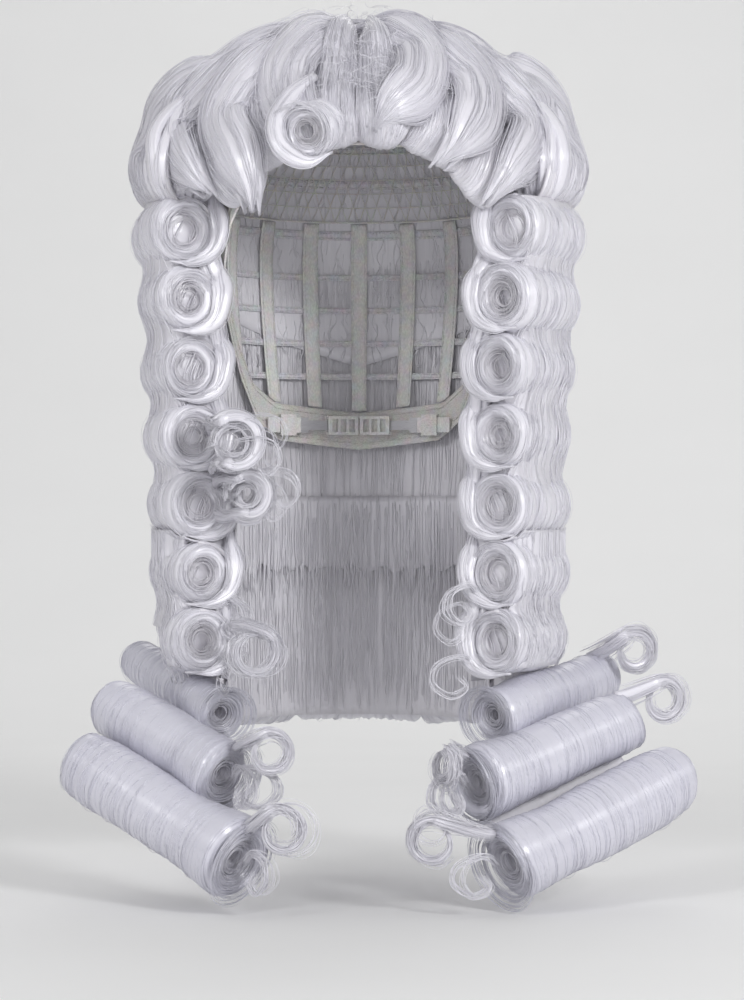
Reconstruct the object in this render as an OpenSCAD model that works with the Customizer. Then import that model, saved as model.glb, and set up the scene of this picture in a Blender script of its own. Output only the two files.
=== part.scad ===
// Full-bottomed costume wig: a stretch cap with sewn wefts, a puffed crown,
// rows of sausage curls round the sides and back, and three hanging falls.
// Millimetres. +Z up, the wearer looks along -Y, +X is the wearer's left.
// The origin is the centre of the head opening at brow height.

/* [Head] */
// Half breadth of the head that the cap fits
head_a = 77; // [75:0.5:77]
// Half length of the head that the cap fits
head_b = 98; // [95:0.5:98]
// Height of the crown of the head above the head centre
head_c = 88; // [85:0.5:88]
// Thickness of the cap's net and bands
cap_t = 1.2; // [0.8:0.1:1.3]

/* [Curls] */
// Outside radius of a side or back curl
curl_r = 16.5; // [14:0.5:16.5]
// Radius of the hollow down the middle of a curl
curl_hollow = 7; // [4:0.5:8]
// Height between two rows of curls
row_pitch = 34; // [34:0.5:35]
// Height of the top row of curls above the brow
row_top = 46; // [46:0.5:47]
// Angle from the face at which the right side curls start
right_start = 58; // [58:1:62]
// Angle from the face at which the left side curls start
left_start = 47; // [47:1:53]

/* [Falls] */
// Outside radius of the lowest shoulder roll
shoulder_r = 17.5; // [15:0.5:17.5]
// Thickness of the flat hair behind the curls
hair_t = 2.2; // [1.4:0.1:2.2]

/* [Crown] */
// Rise of the front puffs above the head
puff_rise = 36; // [28:1:38]
// Rise of the side and back waves above the head
wave_rise = 40; // [32:1:42]

/* [Nape adjuster] */
// Height of the adjuster strap
strap_h = 8; // [6:0.5:9]
// Thickness of the adjuster strap
strap_t = 1.2; // [0.8:0.1:1.4]
// Height of a loop bar's opening behind it
loop_gap = 1.6; // [1.5:0.1:2]

/* [Hidden] */
$fn = 48;
yc = 5;
zc = 5;
gap = 0.6;
// Edge of the cap, as height share q against the angle from the face.
RIM = [[0, 0.36], [20, 0.355], [35, 0.31], [48, 0.2], [56, 0.06], [60, -0.12],
       [64, -0.38], [68, -0.46], [78, -0.46], [82, -0.4], [86, -0.12], [90, -0.03],
       [100, 0], [108, -0.05], [114, -0.3], [120, -0.62], [128, -0.85], [140, -0.95], [180, -1]];
// Half breadth and half length of the ring that the curls' centres lie on, against height.
RING_A = [[-300, 92], [-130, 92], [12, 100], [46, 98]];
RING_B = [[-300, 112], [-130, 112], [12, 121], [46, 118]];
// Rise of a front puff and of a crown wave along its length, hairline to crown.
PUFF = [[0, 0.22], [0.08, 0.56], [0.2, 0.76], [0.36, 0.78], [0.52, 0.84], [0.68, 1], [0.82, 1], [0.93, 0.84], [1, 0.6]];
WAVE = [[0, 0.84], [0.12, 1], [0.34, 0.9], [0.52, 0.84], [0.72, 0.9], [0.88, 0.84], [1, 0.58]];
ROW = [for (i = [0:8]) row_top - row_pitch * i];
// Front end, outer end and radius of each shoulder roll.
ROLL_L = [[[66, -62, -229], [127, 8, -211.5], 12.5], [[57, -88, -260], [138, -30, -232], 15.5], [[72, -103, -298], [160, -35, -262], shoulder_r]];
ROLL_R = [[[-68, -52, -228.5], [-114, 40, -207.5], 12], [[-65, -82, -257], [-124, -20, -227], 15], [[-58, -110, -296], [-140, -44.5, -252], shoulder_r]];
// Loose rings: centre, ring radius, strand bundle radius, turn about Z.
RINGS_L = [[[141, -12, -199], 9.5, 2.8, 20], [[154, -31, -223], 10, 2.8, 25], [[36, -116, -286], 11, 2.4, -10], [[42, -104, -250], 9, 2, -50]];
RINGS_R = [[[-50, -93, -196], 11, 2.5, 20], [[-42, -106, -244], 10.5, 2.4, 15], [[-36, -124, -280], 11, 2.2, 0]];
// Front end, back end and radius of each short curl that lies on the right cheek.
CHEEK = [[[-59, -100, -93], [-63, -75, -94], 14], [[-53, -80, -119], [-56, -62, -120], 11.5]];

// ---- surfaces ----
function taper(q) = 1 - 0.16 * pow(max(-q, 0), 1.6);
// Point on the head at angle phi from the face and height share q, off mm outside it.
function head(phi, q, off) = q >= 0
    ? [(head_a + off) * cos(90 * q) * sin(phi), yc - (head_b + off) * cos(90 * q) * cos(phi), zc + (head_c + off) * sin(90 * q)]
    : [(head_a + off) * taper(q) * sin(phi), yc - (head_b + off) * taper(q) * cos(phi), zc + 100 * q];
// Point on the ring of curl centres.
function ring(phi, z, off) = [(lookup(z, RING_A) + off) * sin(phi), yc - (lookup(z, RING_B) + off) * cos(phi), z];
function rim(phi) = lookup(phi > 180 ? 360 - phi : abs(phi), RIM);
function band_top(phi) = max(rim(phi) + 0.11, 0.17);
function span(a, b, n) = [for (i = [0:n]) a + (b - a) * i / n];
function mix(a, b, t) = a + (b - a) * t;
function unit(v) = v / norm(v);

// Closed solid between two grids of points; loop joins the last column to the first.
module slab(out, inn, loop = false) {
    ni = len(out);
    nj = len(out[0]);
    last = loop ? ni - 1 : ni - 2;
    function id(g, i, j) = g * ni * nj + (i % ni) * nj + j;
    polyhedron(
        points = [for (g = [out, inn]) for (r = g) for (p = r) p],
        faces = concat(
            [for (i = [0:last]) for (j = [0:nj - 2]) [id(0, i, j), id(0, i, j + 1), id(0, i + 1, j + 1), id(0, i + 1, j)]],
            [for (i = [0:last]) for (j = [0:nj - 2]) [id(1, i, j), id(1, i + 1, j), id(1, i + 1, j + 1), id(1, i, j + 1)]],
            [for (i = [0:last]) [id(0, i, 0), id(0, i + 1, 0), id(1, i + 1, 0), id(1, i, 0)]],
            [for (i = [0:last]) [id(0, i + 1, nj - 1), id(0, i, nj - 1), id(1, i, nj - 1), id(1, i + 1, nj - 1)]],
            loop ? [] : [for (j = [0:nj - 2]) [id(0, 0, j + 1), id(0, 0, j), id(1, 0, j), id(1, 0, j + 1)]],
            loop ? [] : [for (j = [0:nj - 2]) [id(0, ni - 1, j), id(0, ni - 1, j + 1), id(1, ni - 1, j + 1), id(1, ni - 1, j)]]));
}

// Shell over the pole of the head from height share q0 up, off0 to off1 outside it.
module dome(q0, off0, off1, rise, n = 24, m = 3) {
    qs = [for (j = [0:m - 1]) mix(q0, 1, j / m)];
    out = [for (j = [0:m - 1]) for (i = [0:n - 1]) head(360 * i / n, qs[j], off1 + rise * j / m)];
    inn = [for (j = [0:m - 1]) for (i = [0:n - 1]) head(360 * i / n, qs[j], off0)];
    top = [head(0, 1, off1 + rise), head(0, 1, off0)];
    function o(i, j) = j * n + i % n;
    function u(i, j) = n * m + j * n + i % n;
    polyhedron(points = concat(out, inn, top), faces = concat(
        [for (j = [0:m - 2]) for (i = [0:n - 1]) [o(i, j), o(i, j + 1), o(i + 1, j + 1), o(i + 1, j)]],
        [for (j = [0:m - 2]) for (i = [0:n - 1]) [u(i, j), u(i + 1, j), u(i + 1, j + 1), u(i, j + 1)]],
        [for (i = [0:n - 1]) [o(i, 0), o(i + 1, 0), u(i + 1, 0), u(i, 0)]],
        [for (i = [0:n - 1]) [o(i, m - 1), 2 * n * m, o(i + 1, m - 1)]],
        [for (i = [0:n - 1]) [u(i + 1, m - 1), 2 * n * m + 1, u(i, m - 1)]]));
}

// ---- cap ----
module cap_shell(phis, lo, hi, off0, off1, m, loop = false) {
    g = [for (off = [off1, off0]) [for (i = [0:len(phis) - 1]) [for (t = span(0, 1, m)) head(phis[i], mix(lo[i], hi[i], t), off)]]];
    slab(g[0], g[1], loop);
}

module crown_patch() { color("ivory") dome(0.868, 0, cap_t, 0); }

module crown_net() {
    p = [for (i = [0:47]) i * 7.5];
    color("whitesmoke") cap_shell(p, [for (a = p) band_top(a) + 0.012], [for (a = p) 0.86], 0, cap_t, 8, true);
}

module front_band() {
    p = span(-57, 57, 24);
    color("ivory") cap_shell(p, [for (a = p) rim(a)], [for (a = p) band_top(a)], 0, cap_t, 2);
}

module ear_tab(s) {
    p = s > 0 ? span(57.6, 111.4, 18) : span(248.6, 302.4, 18);
    color("ivory") cap_shell(p, [for (a = p) rim(a)], [for (a = p) 0.165], 0, cap_t, 4);
}

module nape_band() {
    p = span(112, 248, 34);
    color("ivory") cap_shell(p, [for (a = p) rim(a)], [for (a = p) min(rim(a) + 0.2, 0.1)], 0, cap_t, 2);
}

module back_ribbons() {
    color("white") for (a = [120:20:240]) {
        p = span(a - 3.2, a + 3.2, 2);
        cap_shell(p, [for (b = p) rim(b) + 0.208], [0.163, 0.163, 0.163], 0, cap_t, 6);
    }
}

module weft_rows() {
    color("gainsboro") {
        for (q = [0.3, 0.45, 0.6, 0.75]) {
            p = [for (i = [0:47]) i * 7.5];
            if (q > 0.4) cap_shell(p, [for (a = p) q], [for (a = p) q + 0.035], cap_t + 0.2, cap_t + 0.9, 1, true);
            else { r = span(60, 300, 44); cap_shell(r, [for (a = r) q], [for (a = r) q + 0.035], cap_t + 0.2, cap_t + 0.9, 1); }
        }
        for (w = [[0.1, 62], [-0.08, 113], [-0.26, 116], [-0.44, 121], [-0.62, 126]]) {
            r = span(w[1], 360 - w[1], 44);
            cap_shell(r, [for (a = r) w[0]], [for (a = r) w[0] + 0.035], cap_t + 0.2, cap_t + 0.9, 1);
        }
    }
}

// ---- nape adjuster, along a chord inside the nape band ----
strap_z = -82;
strap_from = [46.8, 62.6];
strap_to = [0, 85.6];
strap_dir = atan2(strap_to[1] - strap_from[1], strap_to[0] - strap_from[0]);
// Runs its children in a frame whose +X is the strap's direction and +Y is towards the head.
module on_strap(s) {
    mirror([s > 0 ? 0 : 1, 0, 0]) translate([strap_from[0], strap_from[1], strap_z]) rotate([0, 0, strap_dir]) children();
}

module strap(s) { color("white") on_strap(s) translate([-2, 0, -strap_h / 2]) cube([19, strap_t, strap_h]); }

module hook(s) {
    color("silver") on_strap(s) {
        translate([17, -0.3, -strap_h / 2]) cube([4.3, strap_t + 0.6, strap_h]);
        translate([21.3, 0.1, -2.5]) cube([14.5, 0.8, 5]);
    }
}

module strap_keeper(s) {
    color("ivory") on_strap(s) difference() {
        translate([5, -1.2, -strap_h / 2 - 1.6]) cube([9, strap_t + 2.4, strap_h + 3.2]);
        translate([4, -0.5, -strap_h / 2 - 0.5]) cube([11, strap_t + 1, strap_h + 1]);
    }
}

// Tape across the centre of the nape with upright bars that the hooks' tongues pass behind.
module loop_tape() {
    color("white") for (s = [1, -1]) on_strap(s) difference() {
        translate([33, -1.6, -5]) cube([17.4, 4.2, 10]);
        translate([32, -0.55, -3.4]) cube([17.5, loop_gap + 0.4, 6.8]);
        for (i = [0:2]) translate([35 + 5 * i, 0.8, -3.4]) cube([3.4, 3, 6.8]);
    }
}

// ---- crown hair ----
// One lock from the hairline or the top row of curls up to the crown.
module lock(a, half, q_out, q_in, rise, profile, n = 6, m = 10) {
    us = span(-1, 1, n);
    out = [for (u = us) [for (t = span(0, 1, m)) head(a + half * u, mix(q_out, 0.86, t), rise * lookup(t, profile) * (0.62 + 0.38 * cos(85 * u)))]];
    inn = [for (u = us) [for (t = span(0, 1, m)) head(a + half * u, mix(q_in, 0.86, t), cap_t + 2)]];
    slab(out, inn);
}

module puff(s, i) {
    q = [0, 0.335, 0.31, 0.2, 0.45][i];
    color("white")
        if (i < 4) lock(s * (20 * i - 10), 9.6, q - 0.02, q, puff_rise, PUFF);
        else lock(s * 70, 9.6, 0.36, q, wave_rise, WAVE);
}

module crown_waves() { color("white") for (a = [90:20:270]) lock(a, 9.6, 0.36, 0.45, wave_rise, WAVE); }

module crown_swirl() { color("white") dome(0.875, cap_t + 2, 20, 6, 24, 3); }

// ---- flat hair under the curls ----
module base(a0, a1, z0, z1, n) {
    zs = span(z0, z1, max(2, ceil((z1 - z0) / 30)));
    off = -curl_r - 1;
    slab([for (a = span(a0, a1, n)) [for (z = zs) ring(a, z, off)]],
         [for (a = span(a0, a1, n)) [for (z = zs) ring(a, z, off - hair_t)]]);
}

module hair_base(s) { color("white") if (s > 0) base(60, 111.5, -140, 59, 10); else base(248.5, 300, -140, 59, 10); }

module hair_base_back() { color("white") base(112.3, 247.7, -140, 59, 26); }

// ---- curls ----
// Centre and radius, in plan, of the circle through three points.
function circle3(a, b, c) = let (
    d = 2 * (a[0] * (b[1] - c[1]) + b[0] * (c[1] - a[1]) + c[0] * (a[1] - b[1])),
    x = ((a * a) * (b[1] - c[1]) + (b * b) * (c[1] - a[1]) + (c * c) * (a[1] - b[1])) / d,
    y = ((a * a) * (c[0] - b[0]) + (b * b) * (a[0] - c[0]) + (c * c) * (b[0] - a[0])) / d)
    [x, y, norm([a[0] - x, a[1] - y])];
function plan(p) = [p[0], p[1]];

// Hollow curl that follows the ring from phi0 to phi1 at height z, with the neck of hair that it is rolled from.
module curl(phi0, phi1, z, neck = true) {
    a = plan(ring(phi0, z, 0));
    b = plan(ring((phi0 + phi1) / 2, z, 0));
    c = plan(ring(phi1, z, 0));
    k = circle3(a, b, c);
    t0 = atan2(a[1] - k[1], a[0] - k[0]);
    t1 = atan2(c[1] - k[1], c[0] - k[0]);
    sweep = (t1 - t0 + 540) % 360 - 180;
    translate([k[0], k[1], z]) rotate([0, 0, sweep > 0 ? t0 : t1]) {
        rotate_extrude(angle = abs(sweep)) translate([k[2], 0]) difference() { circle(curl_r); circle(curl_hollow); }
        if (neck) rotate_extrude(angle = abs(sweep)) translate([k[2] - curl_r + 0.7, 0.45 * curl_r]) square([0.55 * curl_r - 0.7, 0.3 * curl_r]);
    }
}

module side_curl(s, i) {
    start = s > 0 ? left_start : right_start;
    first = i == 0 ? 63 : i == 1 ? start + 2 : start;
    end = i < 7 ? 110 : s > 0 ? 84 : 72;
    color("white") curl(s * first, s * end, ROW[i]);
}

module back_row(i) { for (p = [[113, 156], [158.3, 201.7], [204, 247]]) curl(p[0], p[1], ROW[i]); }

// Straight hollow roll between two points.
module roll(p0, p1, r, hollow) {
    d = p1 - p0;
    translate(p0) rotate([0, acos(d[2] / norm(d)), atan2(d[1], d[0])]) difference() {
        cylinder(r = r, h = norm(d));
        translate([0, 0, -1]) cylinder(r = hollow, h = norm(d) + 2);
    }
}

module shoulder_roll(list, i) { color("white") roll(list[i][0], list[i][1], list[i][2], 0.44 * list[i][2]); }

module rings(list) { color("white") for (r = list) translate(r[0]) rotate([90, 0, r[3]]) rotate_extrude() translate([r[1], 0]) circle(r[2], $fn = 24); }

// ---- falls ----
// Flat hair that hangs behind the lowest side curls, and the sheet that the shoulder rolls lie on.
module fall_base(s, list) {
    color("white") {
        if (s > 0) base(left_start + 2, 111.5, -212, -141.5, 10); else base(248.5, 360 - right_start - 2, -212, -141.5, 10);
        // Normal of the sheet of rolls, turned to the wearer's body.
        n0 = unit(cross(list[2][1] - list[2][0], list[2][0] - list[1][0]));
        n = n0 * (n0[1] > 0 ? 1 : -1);
        rows = [for (i = [1, 2]) for (e = [0, 1]) let (d = list[i][1] - list[i][0]) list[i][0] + d * (0.06 + 0.88 * e) + n * (list[i][2] + gap)];
        g = [for (e = [0, 1]) [for (i = [1, 0]) rows[2 * i + e]]];
        h = [for (c = g) [for (p = c) p + n * hair_t]];
        if (s > 0) slab(g, h); else slab(h, g);
    }
}

crown_patch();
crown_net();
front_band();
ear_tab(1);  // ear_tab_left
ear_tab(-1);  // ear_tab_right
nape_band();
back_ribbons();
weft_rows();
loop_tape();
strap_keeper(1);  // strap_keeper_left
strap_keeper(-1);  // strap_keeper_right
strap(1);  // strap_left
strap(-1);  // strap_right
hook(1);  // hook_left
hook(-1);  // hook_right
crown_swirl();
puff(-1, 1);  // puff_right_1
puff(-1, 2);  // puff_right_2
puff(-1, 3);  // puff_right_3
puff(-1, 4);  // puff_right_4
puff(1, 1);  // puff_left_1
puff(1, 2);  // puff_left_2
puff(1, 3);  // puff_left_3
puff(1, 4);  // puff_left_4
crown_waves();
hair_base(1);  // hair_base_left
hair_base(-1);  // hair_base_right
hair_base_back();
side_curl(1, 0);  // side_curl_left_1
side_curl(1, 1);  // side_curl_left_2
side_curl(1, 2);  // side_curl_left_3
side_curl(1, 3);  // side_curl_left_4
side_curl(1, 4);  // side_curl_left_5
side_curl(1, 5);  // side_curl_left_6
side_curl(-1, 0);  // side_curl_right_1
side_curl(-1, 1);  // side_curl_right_2
side_curl(-1, 2);  // side_curl_right_3
side_curl(-1, 3);  // side_curl_right_4
side_curl(-1, 4);  // side_curl_right_5
side_curl(-1, 5);  // side_curl_right_6
union() { color("white") for (i = [0:2]) back_row(i); }  // back_curls_upper
union() { color("white") for (i = [3:5]) back_row(i); }  // back_curls_lower
union() { color("white") for (c = CHEEK) roll(c[0], c[1], c[2], 0.44 * c[2]); }  // cheek_curls_right
fall_base(1, ROLL_L);  // fall_base_left
side_curl(1, 6);  // side_curl_left_7
side_curl(1, 7);  // side_curl_left_8
shoulder_roll(ROLL_L, 0);  // shoulder_roll_left_1
shoulder_roll(ROLL_L, 1);  // shoulder_roll_left_2
shoulder_roll(ROLL_L, 2);  // shoulder_roll_left_3
rings(RINGS_L);  // loose_rings_left
fall_base(-1, ROLL_R);  // fall_base_right
side_curl(-1, 6);  // side_curl_right_7
side_curl(-1, 7);  // side_curl_right_8
shoulder_roll(ROLL_R, 0);  // shoulder_roll_right_1
shoulder_roll(ROLL_R, 1);  // shoulder_roll_right_2
shoulder_roll(ROLL_R, 2);  // shoulder_roll_right_3
rings(RINGS_R);  // loose_rings_right
union() { color("white") base(112.3, 247.7, -245, -141.5, 26); }  // fall_base_back
union() { color("white") for (i = [6:8]) back_row(i); }  // back_curls_fall
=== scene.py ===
import bpy
import math
import numpy as np
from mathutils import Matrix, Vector


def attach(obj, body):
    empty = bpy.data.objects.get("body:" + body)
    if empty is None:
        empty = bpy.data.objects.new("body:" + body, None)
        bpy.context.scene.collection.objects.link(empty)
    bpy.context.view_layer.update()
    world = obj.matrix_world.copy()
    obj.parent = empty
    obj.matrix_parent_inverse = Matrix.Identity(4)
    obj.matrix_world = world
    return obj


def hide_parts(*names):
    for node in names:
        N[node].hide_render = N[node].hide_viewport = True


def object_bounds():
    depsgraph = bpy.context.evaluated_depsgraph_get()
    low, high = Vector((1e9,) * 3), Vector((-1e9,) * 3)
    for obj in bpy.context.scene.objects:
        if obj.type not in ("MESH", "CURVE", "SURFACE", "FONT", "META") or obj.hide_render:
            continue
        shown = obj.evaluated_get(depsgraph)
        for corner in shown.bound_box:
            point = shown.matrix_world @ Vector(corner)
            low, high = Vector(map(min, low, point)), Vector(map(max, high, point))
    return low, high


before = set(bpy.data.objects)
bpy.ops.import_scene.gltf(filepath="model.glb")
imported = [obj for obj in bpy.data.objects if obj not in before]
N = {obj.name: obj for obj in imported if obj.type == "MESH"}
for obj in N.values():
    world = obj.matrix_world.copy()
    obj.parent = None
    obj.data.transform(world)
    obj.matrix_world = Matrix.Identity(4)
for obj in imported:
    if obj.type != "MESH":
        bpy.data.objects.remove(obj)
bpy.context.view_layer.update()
DETAIL = 1.0

# ------------------------------------------------------------------ geometry of the head and curls, as in the model
HA, HB, HC, YC, ZC, CAP = 77.0, 98.0, 88.0, 5.0, 5.0, 1.2
RIM = np.array([[0, 0.36], [20, 0.355], [35, 0.31], [48, 0.2], [56, 0.06], [60, -0.12], [64, -0.38], [68, -0.46], [78, -0.46], [82, -0.4],
                [86, -0.12], [90, -0.03], [100, 0], [108, -0.05], [114, -0.3], [120, -0.62], [128, -0.85], [140, -0.95], [180, -1]])
RING_A = np.array([[-300, 92], [-130, 92], [12, 100], [46, 98]])
RING_B = np.array([[-300, 112], [-130, 112], [12, 121], [46, 118]])
R = 16.5
ROW = [46 - 34 * i for i in range(9)]
START = {1: 47.0, -1: 58.0}
ROLLS = {1: [((66, -62, -229), (127, 8, -211.5), 12.5), ((57, -88, -260), (138, -30, -232), 15.5), ((72, -103, -298), (160, -35, -262), 17.5)],
         -1: [((-68, -52, -228.5), (-114, 40, -207.5), 12.0), ((-65, -82, -257), (-124, -20, -227), 15.0), ((-58, -110, -296), (-140, -44.5, -252), 17.5)]}
RINGS = {1: [((141, -12, -199), 9.5, 2.8, 20), ((154, -31, -223), 10, 2.8, 25), ((36, -116, -286), 11, 2.4, -10), ((42, -104, -250), 9, 2, -50)],
         -1: [((-50, -93, -196), 11, 2.5, 20), ((-42, -106, -244), 10.5, 2.4, 15), ((-36, -124, -280), 11, 2.2, 0)]}
CHEEK = [((-59, -100, -93), (-63, -75, -94), 14.0), ((-53, -80, -119), (-56, -62, -120), 11.5)]


def sind(a):
    return np.sin(np.radians(a))


def cosd(a):
    return np.cos(np.radians(a))


def head(phi, q, off):
    phi, q, off = np.broadcast_arrays(np.asarray(phi, float), np.asarray(q, float), np.asarray(off, float))
    qp = np.clip(q, 0, 1)
    k = 1 - 0.16 * np.power(np.clip(-q, 0, None), 1.6)
    c = np.where(q >= 0, cosd(90 * qp), k)
    z = np.where(q >= 0, ZC + (HC + off) * sind(90 * qp), ZC + 100 * q)
    return np.stack([(HA + off) * c * sind(phi), YC - (HB + off) * c * cosd(phi), z], -1)


def ring(phi, z, off):
    phi, z, off = np.broadcast_arrays(np.asarray(phi, float), np.asarray(z, float), np.asarray(off, float))
    a = np.interp(z, RING_A[:, 0], RING_A[:, 1]) + off
    b = np.interp(z, RING_B[:, 0], RING_B[:, 1]) + off
    return np.stack([a * sind(phi), YC - b * cosd(phi), z], -1)


def rim(phi):
    p = np.abs(((np.asarray(phi, float) + 180) % 360) - 180)
    return np.interp(p, RIM[:, 0], RIM[:, 1])


def band_top(phi):
    return np.maximum(rim(phi) + 0.11, 0.17)


def ramp(x, a, b):
    t = np.clip((np.asarray(x, float) - a) / (b - a), 0, 1)
    return t * t * (3 - 2 * t)


def wander(rng, n, m, smooth):
    """n smooth random lines of m values, about -1 to 1."""
    k = max(3, int(smooth))
    knots = rng.uniform(-1, 1, (n, k + 3))
    x = np.linspace(0.001, k - 0.001, m)
    i = np.floor(x).astype(int)
    f = x - i
    p0, p1, p2, p3 = knots[:, i], knots[:, i + 1], knots[:, i + 2], knots[:, np.minimum(i + 3, k + 2)]
    return p1 + 0.5 * f * (p2 - p0 + f * (2 * p0 - 5 * p1 + 4 * p2 - p3 + f * (3 * (p1 - p2) + p3 - p0)))


def catmull(points, n):
    """A smooth line through the points, n samples."""
    p = np.asarray(points, float)
    p = np.vstack([2 * p[0] - p[1], p, 2 * p[-1] - p[-2]])
    x = np.linspace(0, len(p) - 3 - 1e-6, n)
    i = np.floor(x).astype(int)
    f = (x - i)[:, None]
    a, b, c, d = p[i], p[i + 1], p[i + 2], p[i + 3]
    return b + 0.5 * f * (c - a + f * (2 * a - 5 * b + 4 * c - d + f * (3 * (b - c) + d - a)))


# ------------------------------------------------------------------ mesh making
class Bag:
    """Collects vertices and faces of one piece, in mm."""

    def __init__(self):
        self.v, self.q, self.t, self.uv, self.sh, self.dir, self.n = [], [], [], [], [], [], 0

    def add(self, v, quads=None, tris=None, uv=None, painted_shade=None, run=None):
        if run is None:
            run = np.gradient(np.asarray(v, float), axis=1) if np.ndim(v) == 3 else np.broadcast_to([0.0, 0.0, 1.0], np.shape(v))
        self.dir.append(np.asarray(run, float).reshape(-1, 3))
        v = np.asarray(v, float).reshape(-1, 3)
        k = len(v)
        self.v.append(v)
        if quads is not None and len(quads):
            self.q.append(np.asarray(quads, int) + self.n)
        if tris is not None and len(tris):
            self.t.append(np.asarray(tris, int) + self.n)
        self.uv.append(np.zeros((k, 3)) if uv is None else np.asarray(uv, float).reshape(-1, 3))
        # painted shade: a per-vertex weight towards the hair's deep colour
        self.sh.append(np.zeros(k) if painted_shade is None else np.asarray(painted_shade, float).reshape(-1))
        self.n += k

    def slab(self, out, inn, uv_o=None, uv_i=None, sh_o=None, sh_i=None, loop=False):
        """Closed solid between two grids (ni, nj, 3); sh_o and sh_i are the painted shade of its outer and inner faces.
        """
        ni, nj = out.shape[:2]
        idx = np.arange(ni * nj).reshape(ni, nj)
        a = np.vstack([idx, idx[:1]]) if loop else idx
        b = a + ni * nj
        f = []

        def quad(w, x, y, z):
            f.append(np.stack([w, x, y, z], -1).reshape(-1, 4))

        quad(a[:-1, :-1], a[1:, :-1], a[1:, 1:], a[:-1, 1:])
        quad(b[:-1, :-1], b[:-1, 1:], b[1:, 1:], b[1:, :-1])
        quad(a[:-1, 0], b[:-1, 0], b[1:, 0], a[1:, 0])
        quad(a[:-1, -1], a[1:, -1], b[1:, -1], b[:-1, -1])
        if not loop:
            quad(a[0, :-1], a[0, 1:], b[0, 1:], b[0, :-1])
            quad(a[-1, :-1], b[-1, :-1], b[-1, 1:], a[-1, 1:])
        z = np.zeros((ni * nj, 3))
        uv = np.vstack([z if uv_o is None else uv_o.reshape(-1, 3), z if uv_i is None else uv_i.reshape(-1, 3)])
        s = np.zeros(ni * nj)
        sh = np.concatenate([s if sh_o is None else sh_o.reshape(-1), s if sh_i is None else sh_i.reshape(-1)])
        run = np.vstack([np.gradient(g, axis=1).reshape(-1, 3) for g in (out, inn)])
        self.add(np.vstack([out.reshape(-1, 3), inn.reshape(-1, 3)]), np.vstack(f), None, uv, sh, run)

    def strands(self, P, rad, rng, sides=3, painted_shade=None, taper=0.35):
        """Closed thin tubes along P (n, m, 3), with radius rad (n,) or (n, m), pointed at both ends."""
        P = np.asarray(P, float)
        n, m = P.shape[:2]
        rad = np.broadcast_to(np.asarray(rad, float).reshape(n, -1), (n, m)).copy()
        e = np.linspace(0, 1, m)
        rad *= np.clip(np.minimum(e, 1 - e) / 0.08, taper, 1)
        T = np.gradient(P, axis=1)
        T /= np.linalg.norm(T, axis=2, keepdims=True) + 1e-9
        # the section is carried along without twist
        a = np.cross(T[:, 0], np.array([0.31, 0.52, 0.79]))
        a = np.where(np.linalg.norm(a, axis=1, keepdims=True) < 0.25, np.cross(T[:, 0], np.array([0.83, -0.5, 0.24])), a)
        A = np.empty_like(T)
        for j in range(m):
            a = a - np.sum(a * T[:, j], axis=1, keepdims=True) * T[:, j]
            a = a / (np.linalg.norm(a, axis=1, keepdims=True) + 1e-12)
            A[:, j] = a
        B = np.cross(T, A)
        ang = 2 * np.pi * np.arange(sides) / sides
        V = P[:, :, None, :] + rad[:, :, None, None] * (np.cos(ang)[:, None] * A[:, :, None, :] + np.sin(ang)[:, None] * B[:, :, None, :])
        idx = np.arange(n * m * sides).reshape(n, m, sides)
        nx = np.roll(idx, -1, axis=2)
        q = np.stack([idx[:, :-1], nx[:, :-1], nx[:, 1:], idx[:, 1:]], -1).reshape(-1, 4)
        t = None
        if sides == 4:
            q = np.vstack([q, idx[:, 0, ::-1], idx[:, -1]])
        else:
            t = np.vstack([np.stack([c[:, 0], c[:, k], c[:, k + 1]], -1) for c in (idx[:, 0, ::-1], idx[:, -1]) for k in range(1, sides - 1)])
        L = np.concatenate([np.zeros((n, 1)), np.cumsum(np.linalg.norm(np.diff(P, axis=1), axis=2), axis=1)], 1)
        rnd = rng.uniform(0, 1, n)
        uv = np.zeros((n, m, sides, 3))
        uv[..., 0] = rnd[:, None, None] * 400
        uv[..., 1] = L[:, :, None]
        uv[..., 2] = rnd[:, None, None]
        # painted shade: per-strand weight towards the deep colour
        sh = np.zeros((n, m, sides)) if painted_shade is None else np.broadcast_to(np.asarray(painted_shade, float).reshape(n, -1)[:, :, None], (n, m, sides))
        self.add(V, q, t, uv, sh, np.broadcast_to(T[:, :, None], V.shape))

    def build(self, name, mat, body, replaces=(), smooth=True):
        V = np.vstack(self.v) * 0.001
        quads = np.vstack(self.q) if self.q else np.zeros((0, 4), int)
        tris = np.vstack(self.t) if self.t else np.zeros((0, 3), int)
        me = bpy.data.meshes.new(name)
        me.vertices.add(len(V))
        me.vertices.foreach_set("co", V.astype(np.float32).ravel())
        loops = np.concatenate([quads.ravel(), tris.ravel()]).astype(np.int32)
        me.loops.add(len(loops))
        me.loops.foreach_set("vertex_index", loops)
        total = np.concatenate([np.full(len(quads), 4), np.full(len(tris), 3)]).astype(np.int32)
        start = np.concatenate([[0], np.cumsum(total)[:-1]]).astype(np.int32)
        me.polygons.add(len(total))
        me.polygons.foreach_set("loop_start", start)
        me.polygons.foreach_set("loop_total", total)
        me.polygons.foreach_set("use_smooth", np.full(len(total), smooth))
        me.update(calc_edges=True)
        a = me.attributes.new("hair_uv", "FLOAT_VECTOR", "POINT")
        a.data.foreach_set("vector", np.vstack(self.uv).astype(np.float32).ravel())
        d = np.vstack(self.dir)
        d = d / (np.linalg.norm(d, axis=1, keepdims=True) + 1e-12)
        d[np.linalg.norm(d, axis=1) < 0.5] = (0, 0, 1)
        a = me.attributes.new("hair_dir", "FLOAT_VECTOR", "POINT")
        a.data.foreach_set("vector", d.astype(np.float32).ravel())
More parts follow.
